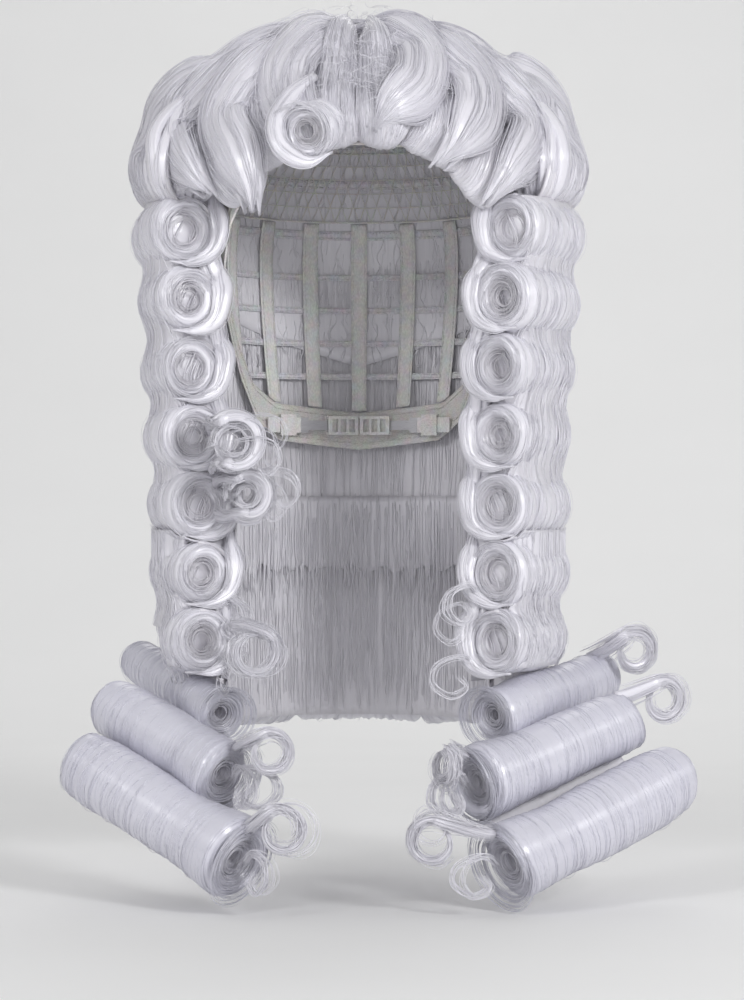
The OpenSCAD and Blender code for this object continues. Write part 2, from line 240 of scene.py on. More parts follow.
        # painted shade mask, which the hair materials use to darken the colour
        s = me.attributes.new("hair_painted_shade", "FLOAT", "POINT")
        s.data.foreach_set("value", np.concatenate(self.sh).astype(np.float32))
        me.validate()
        o = bpy.data.objects.new(name, me)
        bpy.context.scene.collection.objects.link(o)
        o.data.materials.append(mat)
        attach(o, body)
        if replaces:
            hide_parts(*replaces)
        return o


# ------------------------------------------------------------------ materials
def new_mat(name):
    m = bpy.data.materials.new(name)
    m.use_nodes = True
    nt = m.node_tree
    nt.nodes.clear()
    out = nt.nodes.new("ShaderNodeOutputMaterial")
    bs = nt.nodes.new("ShaderNodeBsdfPrincipled")
    nt.links.new(bs.outputs[0], out.inputs[0])
    return m, nt, bs


def node(nt, kind, **k):
    n = nt.nodes.new(kind)
    for a, b in k.items():
        setattr(n, a, b)
    return n


def hair_material(name, light, mid, deep, rough, bump=0.5, spec=0.95, ior=1.6):
    """Glossy synthetic fibre: streaks along the strands, clump to clump variation, and painted shade: a per-vertex mask
    mixes in the deep colour where the hair lies in hollows, grooves and hidden faces.
    """
    m, nt, bs = new_mat(name)
    L = nt.links
    at = node(nt, "ShaderNodeAttribute", attribute_name="hair_uv")
    sh = node(nt, "ShaderNodeAttribute", attribute_name="hair_painted_shade")
    mp = node(nt, "ShaderNodeMapping")
    mp.inputs["Scale"].default_value = (2.6, 0.05, 1.0)
    L.new(at.outputs["Vector"], mp.inputs["Vector"])
    fine = node(nt, "ShaderNodeTexNoise")
    fine.inputs["Scale"].default_value = 1.0
    fine.inputs["Detail"].default_value = 3.0
    fine.inputs["Roughness"].default_value = 0.6
    L.new(mp.outputs[0], fine.inputs["Vector"])
    mp2 = node(nt, "ShaderNodeMapping")
    mp2.inputs["Scale"].default_value = (0.35, 0.02, 1.0)
    L.new(at.outputs["Vector"], mp2.inputs["Vector"])
    clump = node(nt, "ShaderNodeTexNoise")
    clump.inputs["Scale"].default_value = 1.0
    clump.inputs["Detail"].default_value = 2.0
    L.new(mp2.outputs[0], clump.inputs["Vector"])
    add = node(nt, "ShaderNodeMath", operation="MULTIPLY_ADD")
    L.new(fine.outputs["Fac"], add.inputs[0])
    add.inputs[1].default_value = 0.6
    sc = node(nt, "ShaderNodeMath", operation="MULTIPLY")
    L.new(clump.outputs["Fac"], sc.inputs[0])
    sc.inputs[1].default_value = 0.4
    L.new(sc.outputs[0], add.inputs[2])
    cr = node(nt, "ShaderNodeValToRGB")
    cr.color_ramp.elements[0].position = 0.3
    cr.color_ramp.elements[0].color = (*mid, 1)
    cr.color_ramp.elements[1].position = 0.62
    cr.color_ramp.elements[1].color = (*light, 1)
    L.new(add.outputs[0], cr.inputs[0])
    # painted shade: the per-vertex shade mask mixes the deep colour, which is the painted shade colour, into the base
    # colour
    mx = node(nt, "ShaderNodeMix", data_type="RGBA")
    mx.inputs["B"].default_value = (*deep, 1)
    L.new(sh.outputs["Fac"], mx.inputs["Factor"])
    L.new(cr.outputs[0], mx.inputs["A"])
    L.new(mx.outputs["Result"], bs.inputs["Base Color"])
    rr = node(nt, "ShaderNodeMapRange")
    rr.inputs["To Min"].default_value = rough + 0.12
    rr.inputs["To Max"].default_value = rough - 0.06
    L.new(fine.outputs["Fac"], rr.inputs["Value"])
    L.new(rr.outputs["Result"], bs.inputs["Roughness"])
    bp = node(nt, "ShaderNodeBump")
    bp.inputs["Strength"].default_value = bump
    bp.inputs["Distance"].default_value = 0.0006
    L.new(add.outputs[0], bp.inputs["Height"])
    L.new(bp.outputs[0], bs.inputs["Normal"])
    bs.inputs["Specular IOR Level"].default_value = spec
    bs.inputs["IOR"].default_value = ior
    # the shine runs across the strands
    dr = node(nt, "ShaderNodeAttribute", attribute_name="hair_dir")
    vt = node(nt, "ShaderNodeVectorTransform", vector_type="VECTOR", convert_from="OBJECT", convert_to="WORLD")
    L.new(dr.outputs["Vector"], vt.inputs[0])
    L.new(vt.outputs[0], bs.inputs["Tangent"])
    bs.inputs["Anisotropic"].default_value = 0.75
    bs.inputs["Anisotropic Rotation"].default_value = 0.25
    bs.inputs["Sheen Weight"].default_value = 0.08
    bs.inputs["Sheen Roughness"].default_value = 0.4
    return m


def cloth_material(name, light, dark, pitch, rough=0.85, ratio=1.0, depth=0.0004):
    """Knitted or woven fabric, ribbed in object space."""
    m, nt, bs = new_mat(name)
    L = nt.links
    tc = node(nt, "ShaderNodeTexCoord")
    vo = node(nt, "ShaderNodeTexVoronoi", feature="F1")
    vo.inputs["Scale"].default_value = 1.0 / pitch
    mp = node(nt, "ShaderNodeMapping")
    mp.inputs["Scale"].default_value = (1.0, 1.0, ratio)
    L.new(tc.outputs["Object"], mp.inputs["Vector"])
    L.new(mp.outputs[0], vo.inputs["Vector"])
    no = node(nt, "ShaderNodeTexNoise")
    no.inputs["Scale"].default_value = 160.0
    no.inputs["Detail"].default_value = 4.0
    L.new(tc.outputs["Object"], no.inputs["Vector"])
    cr = node(nt, "ShaderNodeValToRGB")
    cr.color_ramp.elements[0].position = 0.1
    cr.color_ramp.elements[0].color = (*light, 1)
    cr.color_ramp.elements[1].position = 0.75
    cr.color_ramp.elements[1].color = (*dark, 1)
    L.new(vo.outputs["Distance"], cr.inputs[0])
    mx = node(nt, "ShaderNodeMix", data_type="RGBA", blend_type="MULTIPLY")
    mx.inputs["Factor"].default_value = 0.25
    L.new(cr.outputs[0], mx.inputs["A"])
    L.new(no.outputs["Color"], mx.inputs["B"])
    L.new(mx.outputs["Result"], bs.inputs["Base Color"])
    bp = node(nt, "ShaderNodeBump", invert=True)
    bp.inputs["Strength"].default_value = 0.7
    bp.inputs["Distance"].default_value = depth
    L.new(vo.outputs["Distance"], bp.inputs["Height"])
    L.new(bp.outputs[0], bs.inputs["Normal"])
    bs.inputs["Roughness"].default_value = rough
    bs.inputs["Sheen Weight"].default_value = 0.25
    bs.inputs["Specular IOR Level"].default_value = 0.3
    return m


def steel_material():
    m, nt, bs = new_mat("hook_steel")
    L = nt.links
    tc = node(nt, "ShaderNodeTexCoord")
    mp = node(nt, "ShaderNodeMapping")
    mp.inputs["Scale"].default_value = (300, 300, 4000)
    no = node(nt, "ShaderNodeTexNoise")
    no.inputs["Scale"].default_value = 1.0
    L.new(tc.outputs["Object"], mp.inputs["Vector"])
    L.new(mp.outputs[0], no.inputs["Vector"])
    rr = node(nt, "ShaderNodeMapRange")
    rr.inputs["To Min"].default_value = 0.22
    rr.inputs["To Max"].default_value = 0.42
    L.new(no.outputs["Fac"], rr.inputs["Value"])
    L.new(rr.outputs["Result"], bs.inputs["Roughness"])
    cr = node(nt, "ShaderNodeValToRGB")
    cr.color_ramp.elements[0].color = (0.55, 0.55, 0.56, 1)
    cr.color_ramp.elements[1].color = (0.78, 0.78, 0.79, 1)
    L.new(no.outputs["Fac"], cr.inputs[0])
    L.new(cr.outputs[0], bs.inputs["Base Color"])
    bs.inputs["Metallic"].default_value = 1.0
    return m


# the third colour of each hair material is the painted shade colour for hollows, grooves and hidden faces
HAIR = hair_material("hair_white", (0.785, 0.775, 0.835), (0.725, 0.715, 0.785), (0.56, 0.535, 0.555), 0.30, bump=0.32)
SATIN = hair_material("hair_satin", (0.655, 0.65, 0.735), (0.625, 0.62, 0.71), (0.54, 0.52, 0.565), 0.32, bump=0.10, spec=1.0, ior=1.8)
BASE = hair_material("hair_base", (0.83, 0.82, 0.87), (0.74, 0.73, 0.79), (0.62, 0.60, 0.63), 0.45)
BAND = cloth_material("cap_band", (0.93, 0.92, 0.89), (0.76, 0.745, 0.715), 0.0011, ratio=1.8)
NET = cloth_material("cap_net", (0.94, 0.93, 0.905), (0.80, 0.79, 0.765), 0.0007)
TAPE = cloth_material("elastic_tape", (0.95, 0.945, 0.93), (0.80, 0.79, 0.78), 0.0009, ratio=0.5)
WEFT = cloth_material("weft_stitch", (0.93, 0.92, 0.95), (0.76, 0.75, 0.79), 0.0013, ratio=0.6)
STEEL = steel_material()


# ------------------------------------------------------------------ curls
class Arc:
    """Axis of a curl that follows the ring at height z from phi0 (front end) to phi1."""

    def __init__(self, phi0, phi1, z):
        a, b, c = (ring(p, z, 0)[:2] for p in (phi0, (phi0 + phi1) / 2, phi1))
        d = 2 * (a[0] * (b[1] - c[1]) + b[0] * (c[1] - a[1]) + c[0] * (a[1] - b[1]))
        x = ((a @ a) * (b[1] - c[1]) + (b @ b) * (c[1] - a[1]) + (c @ c) * (a[1] - b[1])) / d
        y = ((a @ a) * (c[0] - b[0]) + (b @ b) * (a[0] - c[0]) + (c @ c) * (b[0] - a[0])) / d
        self.k, self.z = np.array([x, y]), z
        self.rk = np.linalg.norm(a - self.k)
        self.t0 = math.atan2(*(a - self.k)[::-1])
        t1 = math.atan2(*(c - self.k)[::-1])
        self.sweep = (t1 - self.t0 + 3 * math.pi) % (2 * math.pi) - math.pi
        self.length = abs(self.sweep) * self.rk
        self.r = R

    def P(self, a, x, h):
        t = self.t0 + self.sweep * a
        return np.stack(np.broadcast_arrays(self.k[0] + (self.rk + x) * np.cos(t), self.k[1] + (self.rk + x) * np.sin(t), self.z + h), -1)


class Bar:
    """Straight axis of a shoulder roll from p0 (front end) to p1."""

    def __init__(self, p0, p1, r):
        self.p0, self.p1, self.r = np.array(p0, float), np.array(p1, float), r
        d = self.p1 - self.p0
        self.length = np.linalg.norm(d)
        d = d / self.length
        up = np.array([0, 0, 1.0])
        e1 = np.cross(up, d)
        e1 /= np.linalg.norm(e1)
        if e1[1] > 0:
            e1 = -e1
        self.e1 = e1
        e2 = np.cross(d, e1)
        self.e2 = e2 if e2[2] > 0 else -e2

    def P(self, a, x, h):
        a, x, h = np.broadcast_arrays(np.asarray(a, float), np.asarray(x, float), np.asarray(h, float))
        return self.p0 + (self.p1 - self.p0) * a[..., None] + x[..., None] * self.e1 + h[..., None] * self.e2


# Profile of a curl's end, from the bottom of its hollow to the start of its barrel: depth in mm and radius share.
END = np.array([[20.5, 0.02], [19.4, 0.16], [16.8, 0.29], [12.8, 0.39], [8.6, 0.455], [5.0, 0.505], [2.4, 0.555], [0.9, 0.61], [0.2, 0.675], [0.0, 0.75], [0.3, 0.83], [1.2, 0.915], [3.4, 1.0]])


class Skin:
    """Surface of a curl: w runs from the bottom of the front hollow, over the lip, along the barrel and into the back hollow."""

    def __init__(self, axis, r, rng, wild, closed=(False, False), tall=1.05, lump=1.0, belly=0.0):
        self.axis, self.r, self.L = axis, r, axis.length
        k = r / 16.0
        e = END.copy()
        e[:, 0] *= k
        front, back = e.copy(), e.copy()
        if closed[0]:
            front = np.array([[0.0, 0.02], [0.6, 0.22], [2.4, 0.42], [5.5, 0.62], [9.5, 0.80], [14.5, 0.93], [21, 1.0]])
        n = max(12, int((self.L - front[-1, 0] - back[-1, 0]) / 1.15 * (0.5 + 0.5 * DETAIL)))
        body = np.linspace(front[-1, 0], self.L - back[-1, 0], n)[1:-1]
        self.s = np.concatenate([front[:, 0], body, (self.L - back[:, 0])[::-1]])
        self.rho = np.concatenate([front[:, 1], np.ones(len(body)), back[::-1, 1]])
        d = np.hypot(np.diff(self.s), np.diff(self.rho) * r)
        self.w = np.concatenate([[0], np.cumsum(d)])
        self.w0, self.w1 = self.w[len(front) - 1], self.w[-len(back)]
        self.n_s = -np.gradient(self.rho, self.w) * r
        self.n_r = np.gradient(self.s, self.w)
        m = np.hypot(self.n_s, self.n_r) + 1e-9
        self.n_s, self.n_r = self.n_s / m, self.n_r / m
        g = np.linspace(0, self.L, 40)
        self.g = g
        self.fat = 1 + 0.035 * wander(rng, 1, 40, 4)[0] * wild + 0.4 * belly * np.sin(np.pi * np.linspace(0, 1, 40))
        if belly:
            # a shoulder roll opens out at its front end and closes at the back
            self.fat = self.fat + np.interp(np.linspace(0, 1, 40), [0, 0.1, 0.3, 0.55, 0.85, 1], [0.17, 0.14, 0.02, -0.01, 0.03, -0.06])
        self.lump = lump
        self.cx = 0.9 * wander(rng, 1, 40, 3)[0] * wild
        self.ch = 0.8 * wander(rng, 1, 40, 3)[0] * wild
        self.tilt = rng.uniform(-0.10, 0.10, 2) * wild
        self.tall = tall
        self.skew = rng.uniform(-6, 6)
        self.ph = rng.uniform(0, 6, 6)
        self.clump = (3.0 if lump == 1.0 else 6.2) * rng.uniform(0.85, 1.2)

    def field(self, w, th):
        """Height of the clumped strands, which wrap round the curl."""
        s = w + self.skew * th / 360
        a = np.radians(th)
        k1 = np.abs(np.sin(np.pi * (s / (self.clump * 2.2) + 0.28 * np.sin(1.0 * a + self.ph[0]) + 0.25 * np.sin(s * 0.17 + self.ph[1]))))
        k2 = np.abs(np.sin(np.pi * (s / self.clump + 0.4 * np.sin(s * 0.23 + self.ph[2]) + 0.22 * np.sin(2 * a + self.ph[3]))))
        k3 = np.sin(2 * np.pi * (s / 1.9 + 0.5 * np.sin(s * 0.31 + self.ph[4]) + 0.15 * np.sin(3 * a + self.ph[5])))
        if self.lump != 1.0:
            k1, k2 = 0.62 + self.lump * (k1 ** 0.7 - 0.7), 0.62 + 0.5 * self.lump * (k2 ** 0.8 - 0.66)
        return 0.85 * (k1 - 0.62) + 0.55 * (k2 - 0.62) + (0.07 if self.lump == 1.0 else 0.02) * k3

    def P(self, w, th, lift):
        w, th, lift = np.broadcast_arrays(w, th, lift)
        s = np.interp(w, self.w, self.s)
        rho = np.interp(w, self.w, self.rho)
        ns = np.interp(w, self.w, self.n_s)
        nr = np.interp(w, self.w, self.n_r)
        fat = np.interp(s, self.g, self.fat)
        rr = rho * self.r * fat + nr * lift
        c, h = cosd(th), sind(th)
        # the ends lean a little
        front = np.clip(1 - s / 25, 0, 1)
        back = np.clip(1 - (self.L - s) / 25, 0, 1)
        s2 = s + ns * lift + (front - back) * rr * (self.tilt[0] * c + self.tilt[1] * h)
        return self.axis.P(s2 / self.L, rr * c * 0.985 + np.interp(s, self.g, self.cx), rr * h * self.tall + np.interp(s, self.g, self.ch))


def curl(bag, axis, seed, wild=1.0, strand_n=1.0, closed=(False, False), neck=True, shrink=0.9, tall=1.05, lump=1.0, belly=0.0, ends=(True, True)):
    """A sausage curl: a barrel of clumped hair with rounded lips and a funnel at each end, the sheet that it is rolled from, and loose strands."""
    rng = np.random.default_rng(seed)
    r = axis.r - shrink
    sk = Skin(axis, r, rng, wild, closed, tall, lump, belly)
    nth = int(46 * (0.6 + 0.4 * DETAIL))
    th = (160 - np.linspace(0, 360, nth, endpoint=False))[:, None]
    w = sk.w[None, :]
    d = sk.field(w, th)
    inside = np.clip(1 - w / (0.78 * sk.w0), 0, 1) if not closed[0] else 0 * w
    inside = inside + np.clip((w - sk.w1 - 0.22 * (sk.w[-1] - sk.w1)) / (0.78 * (sk.w[-1] - sk.w1)), 0, 1)
    V = sk.P(w, th, d * (1 - 0.45 * inside))
    nw = len(sk.w)
    idx = np.arange(nth * nw).reshape(nth, nw)
    nx = np.roll(idx, -1, axis=0)
    quads = np.stack([idx[:, :-1], idx[:, 1:], nx[:, 1:], nx[:, :-1]], -1).reshape(-1, 4)
    caps = np.vstack([np.stack([np.full(nth - 2, idx[0, 0]), idx[1:-1, 0], idx[2:, 0]], -1), np.stack([np.full(nth - 2, idx[0, -1]), idx[2:, -1], idx[1:-1, -1]], -1)])
    a, b_, c_ = V[0, nw // 2], V[0, nw // 2 + 1], V[1, nw // 2]
    mid = V[:, nw // 2].mean(0)
    if np.dot(np.cross(b_ - a, V[1, nw // 2] - a), a - mid) < 0:
        quads = quads[:, ::-1]
        caps = caps[:, ::-1]
    arc = np.radians(160 - th) * r
    uv = np.stack([np.broadcast_to(w + sk.skew * th / 360, (nth, nw)) + seed % 97 * 13.0, np.broadcast_to(arc, (nth, nw)), np.full((nth, nw), (seed % 13) * 0.7)], -1)
    # painted shade: darker in the grooves between clumps and, strongly, deep in the end hollows
    painted_shade = 0.10 * np.clip(0.4 - d, 0, 1.2) + 0.80 * inside ** 0.7
    bag.add(V, quads, caps, uv, np.clip(np.broadcast_to(painted_shade, (nth, nw)), 0, 1), np.roll(V, -1, 0) - np.roll(V, 1, 0))

    s0 = 2.0
    if neck:
        # the sheet of hair that comes from the cap and goes over the top
        nu = max(10, int(sk.L / 2.6))
        a = np.linspace(0.02, 0.98, nu)[:, None]
        t = np.linspace(0, 1, 9)[None, :]
        x = (-axis.r - 0.2) * (1 - t) ** 2 + 2 * t * (1 - t) * (-0.72 * r) + (0.05 * r) * t * t
        h = (0.30 * r) * (1 - t) ** 2 + 2 * t * (1 - t) * (0.98 * r) + (1.0 * r) * t * t
        rip = 0.5 * np.abs(np.sin(np.pi * (a * sk.L / 3.3 + 0.3 * np.sin(3 * t))))
        out = axis.P(a + 0 * t, x - 0.5 * rip, h * sk.tall + 0.55 * rip + 0.3)
        inn = axis.P(a + 0 * t, x + 0.9, h * sk.tall - 1.2)
        uvn = np.stack([np.broadcast_to(a * sk.L, out.shape[:2]) + seed % 97 * 13.0, np.broadcast_to(t * 18, out.shape[:2]), np.zeros(out.shape[:2])], -1)
        up = np.cross(out[1, 4] - out[0, 4], out[0, 5] - out[0, 4])
        # painted shade: the sheet's inner face is darker than its outer face
        if np.dot(up, out[0, 4] - inn[0, 4]) > 0:
            bag.slab(out, inn, uvn, uvn, np.full(out.shape[:2], 0.2), np.full(out.shape[:2], 0.5))
        else:
            bag.slab(inn, out, uvn, uvn, np.full(out.shape[:2], 0.5), np.full(out.shape[:2], 0.2))

    # strands round the barrel
    n = int(sk.L * 1.15 * strand_n * DETAIL)
    m = 20
    w0 = rng.uniform(sk.w0 * 0.75, sk.w1 + 0.25 * (sk.w[-1] - sk.w1), n)
    span = rng.uniform(120, 290, n)
    t0 = np.where(rng.uniform(0, 1, n) < 0.5, rng.uniform(105, 160, n), rng.uniform(-40, 110, n))
    tt = np.linspace(0, 1, m)[None, :]
    ang = t0[:, None] - span[:, None] * tt
    ww = np.clip(w0[:, None] - sk.skew * (ang - t0[:, None]) / 360 + 1.6 * wander(rng, n, m, 3), 1, sk.w[-1] - 1)
    fly = rng.uniform(0, 1, n) < (0.09 if lump == 1.0 else 0.03) * wild
    fine = 1.0 if lump == 1.0 else 0.62
    lift = sk.field(ww, ang) + (0.05 + 0.3 * rng.uniform(0, 1, (n, 1)) + 0.2 * wander(rng, n, m, 4)) * fine ** 2 + fly[:, None] * np.sin(np.pi * tt) ** 2 * rng.uniform(0.6, 2.2, (n, 1))
    bag.strands(sk.P(ww, ang, lift), np.where(fly, 0.11, rng.uniform(0.12, 0.24, n) * fine), rng)
    # strands that turn over the lips and into the hollows
    for e in (0, 1):
        if closed[e] or not ends[e]:
            continue
        n = int(38 * DETAIL * strand_n)
        m = 20
        lo, hi = (0.22, 1.0) if e == 0 else (0.0, 0.78)
        a0 = rng.uniform(lo, hi, n)
        wa = a0 * sk.w0 if e == 0 else sk.w1 + a0 * (sk.w[-1] - sk.w1)
        drift = (-1 if e == 0 else 1) * rng.uniform(0, 3.5, n)
        t0 = rng.uniform(0, 360, n)
        span = rng.uniform(110, 300, n)
        tt = np.linspace(0, 1, m)[None, :]
        ang = t0[:, None] - span[:, None] * tt
        ww = np.clip(wa[:, None] + drift[:, None] * tt + 0.5 * wander(rng, n, m, 3), 1.0, sk.w[-1] - 1.0)
        lift = sk.field(ww, ang) * 0.8 + 0.1 + 0.5 * rng.uniform(0, 1, (n, 1)) + 0.15 * wander(rng, n, m, 3)
        # painted shade: strands deeper in the hollow are darker
        depth = (1 - a0 / 0.8 if e == 0 else a0 - 0.2)
        bag.strands(sk.P(ww, ang, lift), rng.uniform(0.12, 0.22, n), rng, painted_shade=np.clip(0.5 * depth, 0, 0.5))


def whorl(bag, axis, r, seed, n, s, flare=1.35):
    """Loose strands that circle in front of a curl's open end and spread a little wider than it."""
    rng = np.random.default_rng(seed)
    n = max(6, int(n * (0.3 + 0.7 * DETAIL)))
    m = 30
    t = np.linspace(0, 1, m)[None, :]
    r0 = r * rng.uniform(0.24, flare, (n, 1))
    r1 = r0 * rng.uniform(0.72, 1.0, (n, 1))
    rr = r0 + (r1 - r0) * t + 0.25 * wander(rng, n, m, 3)
    ang = rng.uniform(0, 360, (n, 1)) - rng.uniform(150, 380, (n, 1)) * t
    wide = np.clip(r0 / r - 0.9, 0, 1)
    d = -0.4 - 5.5 * wide * rng.uniform(0.2, 1.0, (n, 1)) + rng.uniform(-0.8, 0.6, (n, 1)) + 2.2 * np.clip(0.75 - r0 / r, 0, 1) * 3 + 0.5 * wander(rng, n, m, 3)
    inner = -1.0
    x = rr * cosd(ang) + inner * wide * 9
    h = rr * sind(ang) - wide * 2
    # painted shade: loops of small radius, deep in the hollow, are darker
    bag.strands(axis.P(d / axis.length, x, h), rng.uniform(0.11, 0.2, n), rng, painted_shade=np.clip(0.9 - r0 / r, 0, 0.4) * 0.8)


def tuft(bag, pts, width, thick, seed, ref=None, n=40, taper=(0.35, 0.15), ridges=5, spread=1.0, rad=(0.12, 0.23), mesh=True, curl_w=0.0):
    """A lock of hair along a line of points: a ridged body with strands over it. ref points away from the head."""
    rng = np.random.default_rng(seed)
    m = max(16, int(len(pts) * (5 if len(pts) < 12 else 3)))
    C = catmull(pts, m)
    T = np.gradient(C, axis=0)
    T /= np.linalg.norm(T, axis=1, keepdims=True)
    if ref is None:
        ref = C - np.array([0, YC, C[:, 2].mean()])
    ref = np.broadcast_to(np.asarray(ref, float), C.shape)
    Bv = np.cross(T, ref)
    Bv /= np.linalg.norm(Bv, axis=1, keepdims=True) + 1e-9
    Nv = np.cross(Bv, T)
    t = np.linspace(0, 1, m)
    env = (taper[0] + (1 - taper[0]) * ramp(t, 0, 0.25)) * (taper[1] + (1 - taper[1]) * (1 - ramp(t, 0.65, 1.0)))
    W, H = 0.5 * width * env, 0.5 * thick * np.sqrt(env)
    if mesh:
        nth = 26 if width > 6 else 16
        th = np.linspace(0, 360, nth, endpoint=False)[:, None]
        rip = 1 + 0.13 * np.abs(np.sin(np.radians(th) * ridges / 2 + 0.5 * np.sin(5 * t)[None, :] + seed))
        V = C[None] + (cosd(th) * rip * W[None])[..., None] * Bv[None] + (sind(th) * rip * H[None])[..., None] * Nv[None]
        idx = np.arange(nth * m).reshape(nth, m)
        nx = np.roll(idx, -1, axis=0)
        quads = np.stack([idx[:, :-1], nx[:, :-1], nx[:, 1:], idx[:, 1:]], -1).reshape(-1, 4)
        caps = np.vstack([np.stack([np.full(nth - 2, idx[0, 0]), idx[2:, 0], idx[1:-1, 0]], -1), np.stack([np.full(nth - 2, idx[0, -1]), idx[1:-1, -1], idx[2:, -1]], -1)])
        k = m // 2
        if np.dot(np.cross(V[1, k] - V[0, k], V[0, k + 1] - V[0, k]), V[0, k] - C[k]) < 0:
            quads, caps = quads[:, ::-1], caps[:, ::-1]
        L = np.concatenate([[0], np.cumsum(np.linalg.norm(np.diff(C, axis=0), axis=1))])
        uv = np.stack([np.broadcast_to(th / 360 * 2 * width + seed % 97 * 7.0, (nth, m)), np.broadcast_to(L[None], (nth, m)), np.zeros((nth, m))], -1)
        # painted shade: a slight darkening on the body, more in the hollows between its ridges
        bag.add(V, quads, caps, uv, np.broadcast_to(0.10 + 0.12 * (1.13 - rip), (nth, m)))
    n = max(3, int(n * (0.3 + 0.7 * DETAIL)))
    ang = rng.uniform(0, 360, (n, 1))
    rho = (np.sqrt(rng.uniform(0.5, 1.5, (n, 1))) if mesh else np.sqrt(rng.uniform(0.02, 1.3, (n, 1)))) * spread
    rho = rho + 0.12 * wander(rng, n, m, 4)
    ang = ang + 14 * wander(rng, n, m, 3)
    P = C[None] + (cosd(ang) * rho * W[None] * 1.04)[..., None] * Bv[None] + (sind(ang) * rho * H[None] * 1.08)[..., None] * Nv[None]
    P = P + curl_w * np.stack([wander(rng, n, m, 4) for _ in range(3)], -1)
    bag.strands(P, rng.uniform(*rad, n), rng)


def side_axis(s, i):
    st = START[s]
    first = 64 if i == 0 else st + 2 if i == 1 else st
    if i:
        first += 1.5 * math.sin(7.3 * i + 2.1 * s)
    last = 110 if i < 7 else 84 if s > 0 else 72
    return Arc(s * first, s * last, ROW[i])


def waves(bag, p0, p1, z0, z1, seed, amp=(14.0, 3.6), inner=-14.5, taper=0.0, dens=0.75, front=True):
    """Waved hair that fills the grooves between rows of curls, from angle p0 to p1 and height z0 to z1."""
    rng = np.random.default_rng(seed)
    width = abs(math.radians(p1 - p0)) * 105
    nu = max(8, int(width / (1.9 / (0.5 + 0.5 * DETAIL))))
    nz = max(6, int(abs(z1 - z0) / 2.4))
    a = np.linspace(p0, p1, nu)[:, None]
    z = np.linspace(z0, z1, nz)[None, :]
    ph = rng.uniform(0, 6, 5)

    def off(aa, zz):
        base = amp[0] - amp[1] * 0.5 + 0.5 * amp[1] * np.cos(2 * np.pi * (zz - 12) / 34)
        s = (aa - p0) * 1.83
        base = base + 0.9 * (np.abs(np.sin(np.pi * (s / 5.2 + 0.45 * np.sin(zz * 0.092 + ph[0]) + 0.25 * np.sin(s * 0.2 + ph[1])))) - 0.6)
        base = base + 0.4 * (np.abs(np.sin(np.pi * (s / 2.3 + 0.5 * np.sin(zz * 0.11 + ph[2])))) - 0.6)
        if taper:
            base = base - taper * np.clip((max(z0, z1) - zz) / abs(z1 - z0), 0, 1) ** 1.5
        return base

    edge = 1 - 0.5 * (np.abs(np.linspace(-1, 1, nu))[:, None]) ** 8
    out = ring(a, z, off(a, z) * edge)
    inn = ring(a, z, inner)
    uv = np.stack([np.broadcast_to((a - p0) * 1.83 + 3.2 * np.sin(z * 0.092), (nu, nz)), np.broadcast_to(z, (nu, nz)), np.zeros((nu, nz))], -1)
    # painted shade: darker in the grooves between rows, and the hidden inner face darker still
    groove_shade = 0.22 * np.clip((amp[0] - off(a, z)) / amp[1], 0, 1)
    if (p1 - p0) * (z1 - z0) > 0:
        bag.slab(out, inn, uv, uv, groove_shade, np.full((nu, nz), 0.5))
    else:
        bag.slab(inn, out, uv, uv, np.full((nu, nz), 0.5), groove_shade)
    n = int(width * dens * DETAIL)
    m = max(10, int(abs(z1 - z0) / 4.5))
    lo, hi = min(z0, z1), max(z0, z1)
    tz = rng.uniform(hi - 0.3 * (hi - lo), hi, (n, 1))
    bz = rng.uniform(lo, lo + 0.3 * (hi - lo), (n, 1))
    zz = tz + (bz - tz) * np.linspace(0, 1, m)[None, :]
    aa = rng.uniform(min(p0, p1), max(p0, p1), (n, 1)) + 1.5 * np.sin(zz * 0.092 + 0.8 + 0.4 * rng.uniform(-1, 1, (n, 1))) + 0.8 * wander(rng, n, m, 4)
    aa = np.clip(aa, min(p0, p1) - 0.4, max(p0, p1) + 0.4)
    bag.strands(ring(aa, zz, off(aa, zz) + 0.3 + 0.7 * rng.uniform(0, 1, (n, 1)) + 0.3 * wander(rng, n, m, 4)), rng.uniform(0.12, 0.24, n), rng)
    if front:
        # strands across the front wall, seen between the curls' ends
        n = int(46 * DETAIL * abs(z1 - z0) / 100)
        tz = rng.uniform(lo + 0.1 * (hi - lo), hi, (n, 1))
        zz = tz + (rng.uniform(-60, -25, (n, 1))) * np.linspace(0, 1, m)[None, :]
        zz = np.clip(zz, lo, hi)
        rr = rng.uniform(inner, amp[0] - 3, (n, 1)) + 3.0 * np.sin(zz * 0.185 + 0.6) + 0.8 * wander(rng, n, m, 4)
        # painted shade: these strands on the front wall are a little darker
        bag.strands(ring(np.full_like(zz, p0) - math.copysign(0.45, p1 - p0) * rng.uniform(0.6, 2.2, (n, 1)), zz, rr), rng.uniform(0.2, 0.36, n), rng, painted_shade=np.full((n, 1), 0.1))


